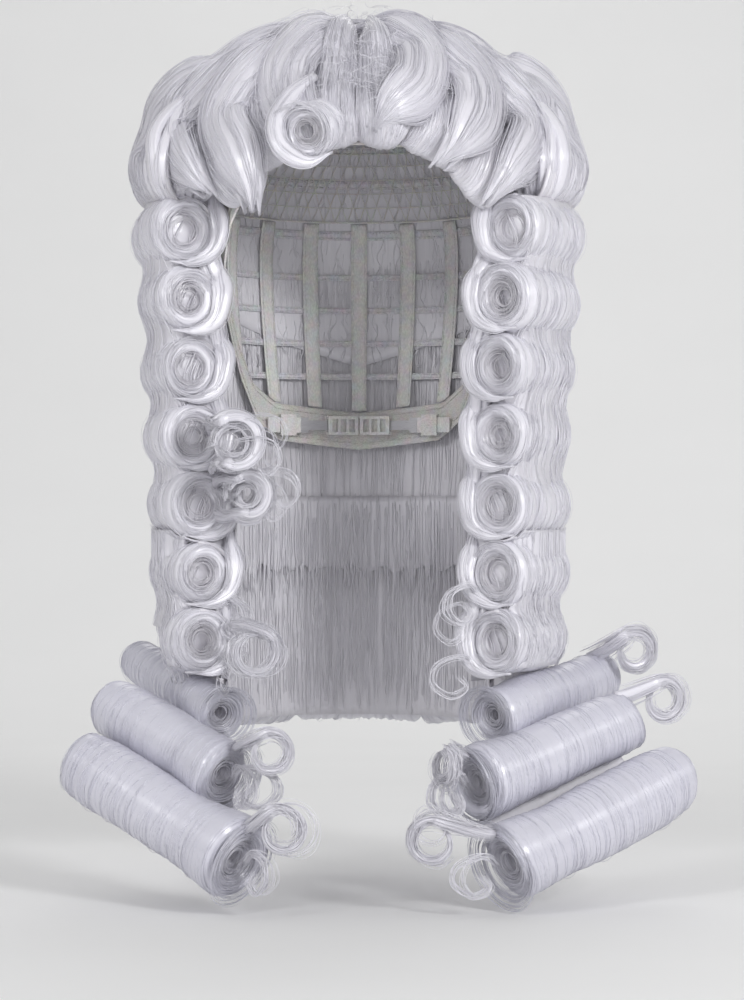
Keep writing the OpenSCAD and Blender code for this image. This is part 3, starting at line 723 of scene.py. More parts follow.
def lip(bag, axis, seed, w0=-126, w1=-50):
    """Thin hair at the top of a fall that lies round the lowest fixed curl, on the circle that the fall swings on."""
    rng = np.random.default_rng(seed)
    nu = max(10, int(axis.length / 2.0))
    a = np.linspace(0.004, 0.996, nu)[:, None]
    up = w1 - 3 - 9 * np.abs(wander(rng, 1, nu, nu / 3)[0][:, None])
    th = w0 + (up - w0) * np.linspace(0, 1, 10)[None, :]
    rip = 0.25 * np.abs(np.sin(np.pi * a * axis.length / 3.1 + 0.4 * np.sin(th * 0.05)))
    out, inn = axis.P(a, (18.4 + rip) * cosd(th), (18.4 + rip) * sind(th)), axis.P(a, 18.0 * cosd(th), 18.0 * sind(th))
    uv = np.stack([np.broadcast_to(a * axis.length + seed, th.shape), th * 0.3, 0 * th], -1)
    # painted shade: the inner face is darker than the outer
    if np.dot(np.cross(out[1, 4] - out[0, 4], out[0, 5] - out[0, 4]), out[0, 4] - inn[0, 4]) > 0:
        bag.slab(out, inn, uv, uv, np.full(th.shape, 0.08), np.full(th.shape, 0.5))
    else:
        bag.slab(inn, out, uv, uv, np.full(th.shape, 0.5), np.full(th.shape, 0.08))
    n = int(axis.length * 1.1 * DETAIL)
    t = np.linspace(0, 1, 9)[None, :]
    w = rng.uniform(w0, w0 + 15, (n, 1)) * (1 - t) + rng.uniform(w1 - 10, w1 + 16, (n, 1)) * t
    aa = np.clip(rng.uniform(0.0, 1.0, (n, 1)) + 0.006 * wander(rng, n, 9, 3), 0.0, 1.0)
    rr = 18.9 + 0.25 * rng.uniform(0, 1, (n, 1)) - 0.8 * ramp(t, 0.6, 1.0)
    bag.strands(axis.P(aa, rr * cosd(w), rr * sind(w)), rng.uniform(0.12, 0.22, n), rng)


def wedge(bag, p0, p1, seed, side=1, lead=0.0):
    """Hair of a fall that fills the groove under the lowest fixed curl, hollowed to the circle that the fall swings on."""
    rng = np.random.default_rng(seed)
    nu = max(10, int(abs(math.radians(p1 - p0)) * 105 / 1.7))
    a = np.linspace(p0, p1, nu)[:, None]
    top = -137.0 if side > 0 else -134.5
    z = np.linspace(-152.0, top, 14)[None, :]
    far = 13.4 if side > 0 else 16.2
    s_mm = (a - p0) * 1.83
    rip = 0.7 * (np.abs(np.sin(np.pi * (s_mm / 5.2 + 0.3 * np.sin(z * 0.1 + seed)))) - 0.6) + 0.3 * (np.abs(np.sin(np.pi * s_mm / 2.3)) - 0.6)
    inner = np.sqrt(np.clip(18.25 ** 2 - (z + 124.0) ** 2, 16.0, None)) + 0 * a
    outer = np.maximum(far - lead * (1 - ramp(np.abs(a - p0) * 1.83, 0, 15)) + (rip if side > 0 else 0.25 * rip), inner + 0.25)
    out, inn = ring(a, z, side * outer), ring(a, z, side * inner)
    uv = np.stack([np.broadcast_to(s_mm + seed, out.shape[:2]), np.broadcast_to(z, out.shape[:2]), np.zeros(out.shape[:2])], -1)
    # painted shade: a slight darkening outside and a strong one on the hidden inner face
    sh, dark_inner_shade = np.full(out.shape[:2], 0.06), np.full(out.shape[:2], 0.5)
    if ((p1 - p0) > 0) == (side > 0):
        bag.slab(out, inn, uv, uv, sh, dark_inner_shade)
    else:
        bag.slab(inn, out, uv, uv, dark_inner_shade, sh)
    n = int(nu * 1.3 * DETAIL)
    t = np.linspace(0, 1, 10)[None, :]
    zz = rng.uniform(top - 1.5, top + 1.0, (n, 1)) * (1 - t) + rng.uniform(-166, -150, (n, 1)) * t
    aa = np.clip(rng.uniform(min(p0, p1), max(p0, p1), (n, 1)) + 0.5 * wander(rng, n, 10, 3), min(p0, p1), max(p0, p1))
    rise = np.maximum(far - lead * (1 - ramp(np.abs(aa - p0) * 1.83, 0, 15)), np.sqrt(np.clip(18.25 ** 2 - (zz + 124.0) ** 2, 16.0, None)) + 0.25)
    bag.strands(ring(aa, zz, side * (rise + 0.55 + 0.45 * rng.uniform(0, 1, (n, 1)) - 0.9 * ramp(t, 0.75, 1.0))), rng.uniform(0.12, 0.22, n), rng)


def feeder(bag, s, i, seed):
    """The lock that sweeps down past the inner side of a curl's open end and turns under it."""
    ax = side_axis(s, i)
    rng = np.random.default_rng(seed)
    j = rng.uniform(-1, 1, 6)
    f = 1.0 / ax.length
    r = 16.0
    ref = np.asarray(ax.P(-20 * f, -0.2 * r, 0)).reshape(3) - np.asarray(ax.P(0, -0.2 * r, 0)).reshape(3) + 0.001
    for k in range(3):
        g = (-1.2, 0.9, 2.8)[k] + 0.5 * j[k]
        q = (7, 10, 3, 12)[k] + 2 * j[(k + 1) % 6]
        e = (1.0, 1.25, 0.7, 1.1)[k] + 0.15 * j[(k + 2) % 6]
        pts = [ax.P((9 - k) * f, -r - 1.0 + 0.5 * g, r + q), ax.P((1.5 - 0.5 * k) * f, -r - 0.4 - g, r * 0.60), ax.P((-1.2 - 0.5 * k) * f, -r - 0.2 - 0.9 * g + 0.6 * j[2], 0.5 + j[3]),
               ax.P((-1.8 - 0.3 * k) * f, -r * 0.80 - 0.5 * g, -r * 0.62 - 0.25 * g), ax.P(-1.0 * f, -r * 0.25 * e, -r * (0.97 + 0.01 * k)), ax.P(1.6 * f, r * 0.45 * e, -r * 0.97)]
        pts = [np.asarray(p).reshape(3) for p in pts]
        tuft(bag, pts, 5.0 + 0.8 * j[(k + 3) % 6], 3.4, seed + 1 + 11 * k, ref=ref, n=24, taper=(0.5, 0.15), ridges=6, spread=1.12)


def bridge(bag, s, i, seed):
    """Hair on the inner side between a curl's open end and the next one down."""
    a0, a1 = side_axis(s, i), side_axis(s, i + 1)
    for k in range(2):
        x = -15.2 + 3.2 * k
        d = 2.2 + 2.5 * k
        pts = [a0.P(d / a0.length, x - 1, 4), a0.P((d - 0.5) / a0.length, x - 0.8, -6), a0.P((d - 0.3) / a0.length, x + 0.5, -14), a1.P((d - 0.3) / a1.length, x + 0.5, 13), a1.P(d / a1.length, x - 0.5, 3)]
        pts = [np.asarray(q).reshape(3) for q in pts]
        tuft(bag, pts, 6.5, 3.0, seed + k, ref=np.asarray(a0.P(-20 / a0.length, x, 0)).reshape(3) - np.asarray(a0.P(0, x, 0)).reshape(3) + 0.001, n=16, taper=(0.5, 0.4), ridges=5, spread=1.1)


SIDES = {1: "left", -1: "right"}
for s in (1, -1):
    st = START[s]
    for i in range(8):
        name = f"side_curl_{SIDES[s]}_{i + 1}"
        body = "wig" if i < 6 else f"{SIDES[s]}_fall"
        b = Bag()
        seed = 100 * (s + 2) + i
        curl(b, side_axis(s, i), seed, closed=(i == 0, False), shrink=1.1 + 0.9 * math.sin(4.7 * i + s), ends=(True, i == 7))
        if i:
            feeder(b, s, i, seed + 40)
            if i not in (5, 7):
                bridge(b, s, i, seed + 4700)
            whorl(b, side_axis(s, i), 15.6, seed + 60, 34, s, flare=1.1)
        else:
            # hair that sweeps from the crown over the end of the top row
            ax = side_axis(s, 0)
            f = 1.0 / ax.length
            for k in range(9):
                v = -1.15 + 2.3 * k / 8
                e = math.sqrt(max(0.1, 1 - 0.62 * v * v))
                w = 1.4 * math.sin(2.6 * k + s)
                pts = [ax.P(5 * f, -8 + 3 * v, 34), ax.P(0 * f, -3 + 8 * v + w, 25), ax.P(-7 * f * e, 12.5 * v + w, 14), ax.P(-11.5 * f * e, 15.5 * v - w, 1.5),
                       ax.P(-9 * f * e, 13.5 * v - w, -9.5), ax.P(-3.5 * f, 10 * v - 1, -16.5), ax.P(3 * f, 6 * v - 2, -20)]
                tuft(b, [np.asarray(q).reshape(3) for q in pts], 9.5, 5.5, 4100 + 20 * s + k, ref=None, n=30, taper=(0.7, 0.35), ridges=7)
        b.build(name + "_hair", HAIR, body, (name,))
    for i in range(3):
        name = f"shoulder_roll_{SIDES[s]}_{i + 1}"
        b = Bag()
        curl(b, Bar(*ROLLS[s][i]), 500 + 10 * (s + 2) + i, wild=1.6, strand_n=1.3, neck=False, tall=1.03, shrink=0.3, lump=0.26, belly=0.10)
        whorl(b, Bar(*ROLLS[s][i]), ROLLS[s][i][2] * 1.1, 540 + 10 * (s + 2) + i, 90, s, flare=1.25)
        b.build(name + "_hair", SATIN, f"{SIDES[s]}_fall", (name,))
    b = Bag()
    waves(b, s * (st + 3.5), s * 109.5, 28, -133, 700 + s)
    waves(b, s * 66, s * 109.5, 60, 29, 704 + s, front=False)
    waves(b, s * 104, s * 120, 58, -133, 720 + s, front=False, amp=(15.2, 2.6), inner=-5, dens=1.3)
    b.build(f"side_waves_{SIDES[s]}_hair", HAIR, "wig")
    b = Bag()
    waves(b, s * (st + 3.5), s * 111.2, -150, -186, 708 + s)
    waves(b, s * (st + 3.5), s * (82 if s > 0 else 70), -168, -205, 712 + s)
    waves(b, s * (84 if s > 0 else 72), s * 111.2, -172, -214, 716 + s, taper=15, inner=-16.5)
    lip(b, side_axis(s, 5), 730 + s)
    wedge(b, s * (st + 4.6), s * 111.2, 734 + s, lead=6.5)
    wedge(b, s * (st + 2.6), s * 109.0, 736 + s, side=-1)
    b.build(f"fall_waves_{SIDES[s]}_hair", HAIR, f"{SIDES[s]}_fall")
for name, rows, body in (("back_curls_upper", (0, 1, 2), "wig"), ("back_curls_lower", (3, 4, 5), "wig"), ("back_curls_fall", (6, 7, 8), "back_fall")):
    for col, (p0, p1) in enumerate(((113, 156), (158.3, 201.7), (204, 247))):
        b = Bag()
        for i in rows:
            curl(b, Arc(p0, p1, ROW[i]), 900 + 10 * i + col, strand_n=0.62, ends=(False, False))
        b.build(f"{name}_{col + 1}_hair", HAIR, body, (name,))
b = Bag()
for p0, p1 in ((114, 155), (159, 201), (205, 246)):
    waves(b, p0, p1, 60, -133, 740 + p0, front=False, dens=0.6)
for p0, p1 in ((150.5, 163.5), (196.5, 209.5)):
    waves(b, p0, p1, 58, -133, int(750 + p0), front=False, amp=(15.2, 2.6), inner=-5, dens=1.3)
b.build("back_waves_hair", HAIR, "wig")
b = Bag()
for p0, p1 in ((112.6, 155), (159, 201), (205, 247.4)):
    waves(b, p0, p1, -150, -236, int(760 + p0), front=False, dens=0.6)
for p0, p1 in ((150.5, 163.5), (196.5, 209.5)):
    waves(b, p0, p1, -148, -238, int(770 + p0), front=False, amp=(15.2, 2.6), inner=-5, dens=1.3)
for p0, p1 in ((113, 156), (158.3, 201.7), (204, 247)):
    lip(b, Arc(p0, p1, ROW[5]), int(780 + p0), w0=-112)
wedge(b, 112.5, 247.5, 790)
b.build("back_fall_waves_hair", HAIR, "back_fall")


# ------------------------------------------------------------------ loose rings
def loose_ring(bag, centre, rad, thick, turn, seed, tail, n=26, mesh=False):
    """An open curl of fine strands: it leaves the hair at tail, swings round once and a bit, and closes inwards."""
    rng = np.random.default_rng(seed)
    c = np.array(centre, float)
    ax = np.array([math.cos(math.radians(turn)), math.sin(math.radians(turn)), 0.0])
    dp = np.array([-ax[1], ax[0], 0.0])
    up = np.array([0, 0, 1.0])
    v = np.array(tail, float) - c
    a0 = math.degrees(math.atan2(v @ up, v @ ax))
    side = 1 if v @ ax > 0 else -1
    pts = [np.array(tail, float), np.array(tail, float) * 0.5 + (c + 1.15 * rad * (math.cos(math.radians(a0 + side * 30)) * ax + math.sin(math.radians(a0 + side * 30)) * up)) * 0.5]
    for k, d in enumerate(np.arange(55, 430, 24)):
        a = math.radians(a0 + side * d)
        rr = rad * (1.08 - 0.0009 * d)
        pts.append(c + rr * (math.cos(a) * ax + math.sin(a) * up) + dp * (-2.5 + 0.012 * d))
    tuft(bag, pts, thick * (1.25 if thick > 2.6 else 0.8), thick * 0.9, seed, ref=dp, n=n, taper=(2.0, 0.2), spread=1.7, rad=(0.13, 0.26), mesh=mesh, curl_w=0.7)
    # finer loops of other sizes beside it
    for k in range(5):
        f = rng.uniform(0.72, 1.28)
        sh = rng.normal(0, 1.8, 3)
        last = int(rng.uniform(0.55, 1.0) * len(pts))
        q = [c + (p - c) * (f if i > 1 else 1 + (f - 1) * 0.5 * i) + sh * min(1, i / 4) for i, p in enumerate(pts[:last])]
        tuft(bag, q, thick * 1.4, thick * 1.1, seed + 7 * k + 3, ref=dp, n=max(4, n // 4), taper=(0.9, 0.5), rad=(0.11, 0.2), mesh=False, curl_w=1.3)


TAILS = {1: [(120, 3, -203), (130, -36, -222), (66, -108, -283), (54, -92, -247)], -1: [(-62, -74, -183), (-60, -86, -243), (-54, -114, -281)]}
for s in (1, -1):
    b = Bag()
    for i, (c, rad, th, turn) in enumerate(RINGS[s]):
        loose_ring(b, c, rad, th, turn, 1300 + 10 * s + i, tail=TAILS[s][i], n=30, mesh=True)
    # wisps that hang at the inner edge of the fall
    rng = np.random.default_rng(1350 + s)
    for k in range(17):
        z = rng.uniform(-290, -165)
        base = ring(s * START[s], max(z, -205), rng.uniform(-16, -6)) if z > -205 else np.array(ROLLS[s][1 if z > -262 else 2][0], float) + np.array([s * -4, -6, 0])
        x = s * rng.uniform(7, 24)
        pts = [base, base + [-0.35 * x, -5, 5], base + [-0.9 * x, -8, 1], base + [-x, -9, -8], base + [-0.6 * x, -8, -14], base + [-0.25 * x, -7, -10], base + [-0.45 * x, -7, -4]]
        tuft(b, pts, 2.6, 2.0, 1360 + 20 * s + k, ref=np.array([0, -1.0, 0.1]), n=7, mesh=False, rad=(0.10, 0.2), taper=(0.8, 0.6), curl_w=1.0)
    b.build(f"loose_rings_{SIDES[s]}_hair", HAIR, f"{SIDES[s]}_fall", (f"loose_rings_{SIDES[s]}",))
b = Bag()
rng = np.random.default_rng(1430)
for i, (p0, p1, rad) in enumerate(CHEEK):
    p0, p1 = np.array(p0, float), np.array(p1, float)
    d = (p1 - p0) / np.linalg.norm(p1 - p0)
    for k in range(7):
        c = p0 + d * (1.5 + 3.7 * k) + rng.normal(0, 0.5, 3)
        f = rad * (0.92 - 0.012 * abs(k - 2)) * rng.uniform(0.93, 1.06)
        deg = np.linspace(128, -118, 12) + rng.uniform(-8, 8)
        loop = [c + np.array([f * cosd(a), 0, f * sind(a) * (1.0 if a > 0 else 1.06 + 0.1 * i)]) * (1 - 0.0004 * (128 - a)) for a in deg]
        r_in = ring(-60.5, c[2] + 0.45 * rad + 1.5 * rng.normal(), -9)
        r_out = ring(-60.5, c[2] - 0.8 * rad + 1.5 * rng.normal(), -9)
        pts = [r_in, 0.45 * r_in + 0.55 * loop[0] + [-1.5, 0, 1.5]] + loop + [0.5 * r_out + 0.5 * loop[-1] + [-1.0, 0, -1.5], r_out]
        tuft(b, pts, 4.4 * rng.uniform(0.7, 1.1), 2.8, 1420 + 20 * i + k, ref=-d + np.array([0.05, 0, 0.1]), n=22, taper=(0.8, 0.6), ridges=5, spread=1.3, mesh=k % 3 != 1, curl_w=0.35)
    for k in range(5):
        # finer locks that turn inside it
        c = p0 + d * (3 + 3.5 * k) + rng.normal(0, 0.8, 3)
        f = rad * rng.uniform(0.45, 0.74)
        deg = np.linspace(190, -170 + rng.uniform(-30, 60), 12) + rng.uniform(-40, 40)
        loop = [c + np.array([f * cosd(a) - 0.12 * rad, 0, f * sind(a)]) * (1 + 0.0006 * (a - 190)) for a in deg]
        tuft(b, [c + [-rad, 10, -2 * k + 3]] + loop, 2.6, 2.0, 1470 + 20 * i + k, ref=-d + np.array([0.05, 0, 0.1]), n=12, taper=(0.6, 0.4), mesh=False, rad=(0.11, 0.2), spread=1.2, curl_w=0.6)
rng = np.random.default_rng(1440)
for k in range(9):
    base = np.array(CHEEK[k % 2][0], float) + rng.normal(0, 4, 3) + [8, 4, 0]
    x = rng.uniform(5, 14)
    pts = [base + [-12, 4, 4], base + [0, -1, 6], base + [0.8 * x, -2, 3], base + [x, -2, -6], base + [0.5 * x, -1, -12], base + [0.1 * x, 0, -8]]
    tuft(b, pts, 2.4, 2.0, 1450 + k, ref=np.array([0, -1.0, 0.1]), n=6, mesh=False, rad=(0.10, 0.2), taper=(0.8, 0.6), curl_w=1.0)
b.build("cheek_curls_right_hair", HAIR, "wig", ("cheek_curls_right",))


# ------------------------------------------------------------------ crown
def shell(points):
    """Height share and rise over the head for points given as half breadth and height at the side of the head."""
    out = []
    for x, z in points:
        lo, hi = 0.0, 80.0
        for _ in range(40):
            o = 0.5 * (lo + hi)
            if (x / (HA + o)) ** 2 + ((z - ZC) / (HC + o)) ** 2 > 1:
                lo = o
            else:
                hi = o
        out.append((math.degrees(math.asin((z - ZC) / (HC + o))) / 90, o))
    return out


FRONT_LINE = [(0.07, 2.6), (0.00, 4.0), (-0.055, 8.5), (-0.06, 15.5), (-0.02, 23.0), (0.055, 28.5), (0.14, 30.5), (0.23, 29.0), (0.32, 28.5), (0.42, 32.0), (0.52, 37.5), (0.63, 39.5), (0.75, 37.0), (0.87, 34.5), (1.0, 28.0)]
SIDE_LINE = shell([(103, 29), (109, 27.5), (114, 33), (116.5, 42), (115.5, 51), (110.5, 59.5), (105, 66), (103, 73), (101.5, 81), (95.5, 89.5), (86.5, 94.5), (77.5, 97.5), (68.5, 104), (58, 112), (46, 118.5), (34, 121.5), (22, 119)])


def lock(bag, phi, half, q_edge, line, seed, q_top=0.9, rise=1.0, sway=4.2):
    """One puff or wave of the crown: from its lower edge, out and back to the crown, strands along its length."""
    rng = np.random.default_rng(seed)
    nt = int(64 * (0.5 + 0.5 * DETAIL))
    nu = int(40 * (0.5 + 0.5 * DETAIL))
    pl = np.array(line, float)
    ln = catmull(pl, nt)
    tt = np.linspace(0, 1, nt)
    share, off0 = ln[:, 0], ln[:, 1]
    ph = rng.uniform(0, 6, 6)
    amp = rng.uniform(0.7, 1.15)
    fl = rng.uniform(-0.35, 0.35)
    out_way = 1.0 if 0 <= phi <= 180 else -1.0
    swing = catmull([(x,) for x in (-0.45, -0.95, -0.6, 0.25, 0.95, 0.9, 0.3, -0.2, 0.0)], nt)[:, 0]
    stagger = 0.04 * math.sin(2.4 * phi + 1.0)
    skirt = not callable(q_edge)

    def surface(u, t, extra):
        tb = t + stagger * np.sin(np.pi * np.clip(t, 0, 1)) ** 2
        share_t = np.interp(tb, tt, share)
        off_t = np.interp(tb, tt, off0)
        qe = q_edge(phi + half * u) + 0.04 * np.abs(u) ** 2.5 if callable(q_edge) else q_edge
        q = qe + (q_top - qe) * share_t
        deep = 0.13 if skirt else 0.40
        prof = 1 - (deep + ((0.30 if skirt else 0.36) - deep) * ramp(t, 0.35 if skirt else 0.25, 0.75 if skirt else 0.5)) * (1 - cosd(88 * np.clip(u, -1, 1)))
        lift = (off_t - 3) * prof * rise + 3
        near = np.abs((phi + half * u + 180) % 360 - 180)
        ww = out_way * sway * amp * np.interp(t, tt, swing) * ramp(near, 2, 24) * ramp(180 - near, 2, 24)
        lift = lift + 0.9 * np.sin(2 * np.pi * (3.1 * t + fl * u) + ph[1]) * ramp(t, 0.15, 0.35) * (1 - ramp(t, 0.8, 1))
        width = half * (1.05 + 0.05 * np.sin(2 * np.pi * 1.3 * t + ph[2]))
        return head(phi + width * u + ww, np.clip(q, -1.05, 0.995), np.maximum(lift + extra, 2.4))

    def field(u, t):
        s = u * 5.2
        k1 = np.abs(np.sin(np.pi * (s * 0.45 + 0.30 * np.sin(4.2 * t + ph[3]) + 0.2 * np.sin(s * 0.9 + ph[4]))))
        k2 = np.abs(np.sin(np.pi * (s + 0.35 * np.sin(s * 0.7 + ph[5]) + 0.22 * np.sin(5.5 * t + ph[2]))))
        return (1.5 * (k1 - 0.6) + 0.85 * (k2 - 0.6)) * (0.4 + 0.6 * np.sin(np.pi * np.clip(t * 1.05, 0, 1)) ** 0.6)

    u = np.linspace(-1, 1, nu)[:, None]
    t = np.linspace(0, 1, nt)[None, :]
    d = field(u, t)
    out = surface(u, t, 0.8 * d)
    # inside of the lock, close to the cap
    share_i = np.interp(np.linspace(0, 1, nt), tt, np.linspace(0.075, 0.995, nt))[None, :]
    qe = q_edge(phi + half * u) if callable(q_edge) else q_edge
    qi = qe + (q_top - qe) * share_i
    inn = head(phi + half * 1.0 * u, np.broadcast_to(np.clip(qi, -1.0, 0.99), (nu, nt)), np.full((nu, nt), 2.3))
    if skirt:
        # the lower part is a thin sheet over the top row of curls
        k = ramp(t, 0.34, 0.5)[..., None]
        q_in = 0.40 + 0.45 * np.linspace(0, 1, nt)[None, :]
        deep_in = head(phi + half * u, np.broadcast_to(q_in, (nu, nt)), np.full((nu, nt), 2.3))
        inn = surface(u, t, -2.2) * (1 - k) + deep_in * k
    uv = np.stack([np.broadcast_to(u * 16 + seed % 31 * 41.0, (nu, nt)), np.broadcast_to(t * 120, (nu, nt)), np.full((nu, nt), seed % 7)], -1)
    # painted shade: darker in the grooves between clumps, at the side edges and at the lower edge where the lock turns
    # under; the inner face darker still
    sh = np.clip(0.18 - 0.22 * d, 0, 0.4) + 0.22 * np.abs(u) ** 4 + 0.45 * (1 - ramp(t, 0.0, 0.16))
    bag.slab(out, inn, uv, uv, np.clip(np.broadcast_to(sh, (nu, nt)), 0, 1), np.full((nu, nt), 0.5))

    n = int((185 if callable(q_edge) else 135) * DETAIL)
    m = int(30 * (0.6 + 0.4 * DETAIL))
    u0 = rng.uniform(-1.03, 1.03, n)
    t0 = np.where(rng.uniform(0, 1, n) < 0.6, rng.uniform(0.0, 0.1, n), rng.uniform(0.1, 0.5, n))
    t1 = np.where(rng.uniform(0, 1, n) < 0.5, rng.uniform(0.9, 1.0, n), rng.uniform(0.6, 0.95, n))
    st = t0[:, None] + (t1 - t0)[:, None] * np.linspace(0, 1, m)[None, :]
    su = u0[:, None] + 0.07 * wander(rng, n, m, 4)
    fly = rng.uniform(0, 1, n) < 0.07
    bulge = np.sin(np.pi * np.linspace(0, 1, m))[None, :] ** 2
    ex = 0.8 * field(su, st) + rng.uniform(0.0, 0.5, (n, 1)) + 0.3 * wander(rng, n, m, 5) + fly[:, None] * bulge * rng.uniform(0.6, 2.4, (n, 1))
    # painted shade: strands are darker near the lock's lower edge
    bag.strands(surface(su, st, ex), np.where(fly, 0.12, rng.uniform(0.13, 0.26, n)), rng, painted_shade=0.35 * (1 - ramp(st, 0, 0.15)))




def hairline(phi):
    """Height of the front hair's lower edge: an arch over the forehead that comes down at the temples."""
    return np.interp(np.abs(phi), [0, 20, 30, 38, 44, 49, 54, 59, 70], [0.335, 0.325, 0.30, 0.245, 0.18, 0.15, 0.20, 0.29, 0.36])


for s in (1, -1):
    for i in (1, 2, 3, 4):
        b = Bag()
        if i < 4:
            lock(b, s * (20 * i - 10), 9.8, hairline, FRONT_LINE, 2000 + 10 * s + i, q_top=0.86)
        else:
            lock(b, s * 70, 9.8, 0.0, SIDE_LINE, 2000 + 10 * s + i, q_top=1.0, sway=2.4)
        b.build(f"puff_{SIDES[s]}_{i}_hair", HAIR, "wig", (f"puff_{SIDES[s]}_{i}",))
def on_crown(points, extra=0.0):
    """Points on the crown given as breadth, height and rise over the head."""
    out = []
    for x, z, o in points:
        q = math.degrees(math.asin(min(0.999, (z - ZC) / (HC + o)))) / 90
        k = (HA + o) * math.cos(math.radians(90 * q))
        phi = math.degrees(math.asin(max(-0.999, min(0.999, x / k))))
        out.append(np.asarray(head(phi, q, o + extra)).reshape(3))
    return out


# big S-shaped locks that lie over the puffs, each one its own
SWEEPS = [(-1, 1, [(-8, 114, 30), (-22, 112, 34), (-35, 95, 34), (-36, 78, 31), (-28, 60, 30), (-22, 47, 24)], 26, 11),
          (-1, 2, [(-30, 111, 31), (-44, 101, 35), (-60, 84, 35), (-67, 66, 33), (-61, 48, 31), (-54, 31, 26), (-52, 19, 19)], 25, 11),
          (-1, 3, [(-52, 106, 33), (-68, 93, 37), (-86, 74, 37), (-92, 57, 36), (-84, 40, 35), (-73, 29, 28)], 24, 10),
          (1, 1, [(6, 116, 30), (20, 114, 35), (33, 100, 35), (31, 82, 33), (17, 69, 30), (8, 58, 22)], 24, 11),
          (1, 2, [(26, 115, 32), (42, 106, 36), (58, 88, 36), (60, 70, 34), (52, 54, 31), (39, 41, 23)], 25, 11),
          (1, 3, [(48, 109, 33), (64, 95, 37), (82, 75, 37), (86, 58, 35), (77, 41, 32), (64, 22, 22)], 25, 11)]
for s, i, pts, wide, thick in SWEEPS:
    b = Bag()
    seed = 4400 + 50 * (s + 1) + 10 * i
    tuft(b, on_crown(pts, -2.5), wide * 1.1, thick * 1.3, seed, ref=None, n=170, taper=(0.5, 0.08), ridges=9, rad=(0.12, 0.22))
    jig = np.random.default_rng(seed)
    for k in (-1, 1):
        q = [(x + k * wide * 0.3 * (1 - 0.6 * j / len(pts)), z + jig.uniform(-3, 3), o - 1.5) for j, (x, z, o) in enumerate(pts)]
        tuft(b, on_crown(q, -1.5), wide * 0.55, thick * 0.8, seed + 3 + k, ref=None, n=70, taper=(0.5, 0.05), ridges=6, rad=(0.12, 0.22))
    b.build(f"crown_sweep_{SIDES[s]}_{i}_hair", HAIR, "wig")
SIDE_PATH = shell([(24, 121), (42, 119.5), (60, 111), (76, 99), (92, 92), (103, 80), (108, 66), (114, 53), (115.5, 41), (110, 30)])
for s in (1, -1):
    for i, phi0 in enumerate((80, 101, 124, 147, 170)):
        b = Bag()
        seed = 4600 + 50 * (s + 1) + 7 * i
        jig = np.random.default_rng(seed)
        turn = jig.uniform(0.8, 1.2) * (1 if i % 2 else -1)
        sway = [0, 3, 7, 8, 4, -2, -7, -8, -4, 2]
        pts = [np.asarray(head(s * (phi0 + turn * w * (0.3 + 0.7 * min(1, q0 * 0 + j / 3))), q0, o - 2.6)).reshape(3) for j, (w, (q0, o)) in enumerate(zip(sway, SIDE_PATH))]
        tuft(b, pts, 24, 11, seed, ref=None, n=130, taper=(0.35, 0.12), ridges=8, rad=(0.12, 0.22))
        b.build(f"crown_wave_sweep_{SIDES[s]}_{i + 1}_hair", HAIR, "wig")
b = Bag()
curl(b, Bar((-25, -115, 55), (-17, -92, 61), 13.5), 4490, wild=1.3, strand_n=1.4, neck=False, shrink=0.9, tall=1.0)
whorl(b, Bar((-25, -115, 55), (-17, -92, 61), 13.5), 13, 4491, 60, 1, flare=1.3)
tuft(b, [(-21, -94, 84), (-31, -104, 74), (-39, -112, 60), (-36, -116, 47), (-24, -117, 40), (-12, -114, 45)], 8, 5, 4492, ref=np.array([0, -1.0, 0.2]), n=60, taper=(0.5, 0.1))
b.build("brow_curl_hair", HAIR, "wig")

for part, angles in (("right", (190, 210, 230, 250, 270)), ("left", (90, 110, 130, 150, 170))):
    for j, pair in enumerate((angles[:2], angles[2:4], angles[4:])):
        b = Bag()
        for a in pair:
            lock(b, a, 9.8, 0.0, SIDE_LINE, 2100 + a, q_top=1.0, sway=2.4)
        b.build(f"crown_waves_{part}_{j + 1}_hair", HAIR, "wig", ("crown_waves",))

# flat centre of the crown: strands that turn round the middle
b = Bag()
rng = np.random.default_rng(77)
nr, na = 14, 96
rr = np.linspace(0, 1, nr)[None, :]
th = np.linspace(0, 360, na, endpoint=False)[:, None]
q = 0.99 - 0.13 * rr
twist = 60 * rr
rip = 1 + 0.05 * np.sin(np.radians(th) * 17 + 2 * rr)
out = head(th + twist, np.broadcast_to(q, (na, nr)), 28.0 + 1.3 * np.abs(np.sin(np.radians(th) * 12 + 3 * rr)) * rr + 1.5 * np.sin(np.pi * rr))
inn = head(th + twist, np.broadcast_to(q, (na, nr)), np.full((na, nr), 4.0))
uv = np.stack([np.broadcast_to(th * 0.35, (na, nr)), np.broadcast_to(rr * 24, (na, nr)), np.zeros((na, nr))], -1)
# painted shade: slight on the outside, strong on the inner face
b.slab(out[:, ::-1], inn[:, ::-1], uv, uv, np.full((na, nr), 0.1), np.full((na, nr), 0.5), loop=True)
n, m = int(420 * DETAIL), 16
t = np.linspace(0, 1, m)[None, :]
a0 = rng.uniform(0, 360, (n, 1))
r1 = rng.uniform(0.75, 1.25, (n, 1))
rad_t = 0.02 + (r1 - 0.02) * t
P = head(a0 + 75 * rad_t, np.clip(0.995 - 0.135 * rad_t, 0, 0.995), 29.1 + rng.uniform(0, 1.2, (n, 1)) + 0.4 * wander(rng, n, m, 3) + 1.0 * np.sin(np.pi * t))
b.strands(P, rng.uniform(0.2, 0.36, n), rng)
b.build("crown_swirl_hair", HAIR, "wig", ("crown_swirl",))


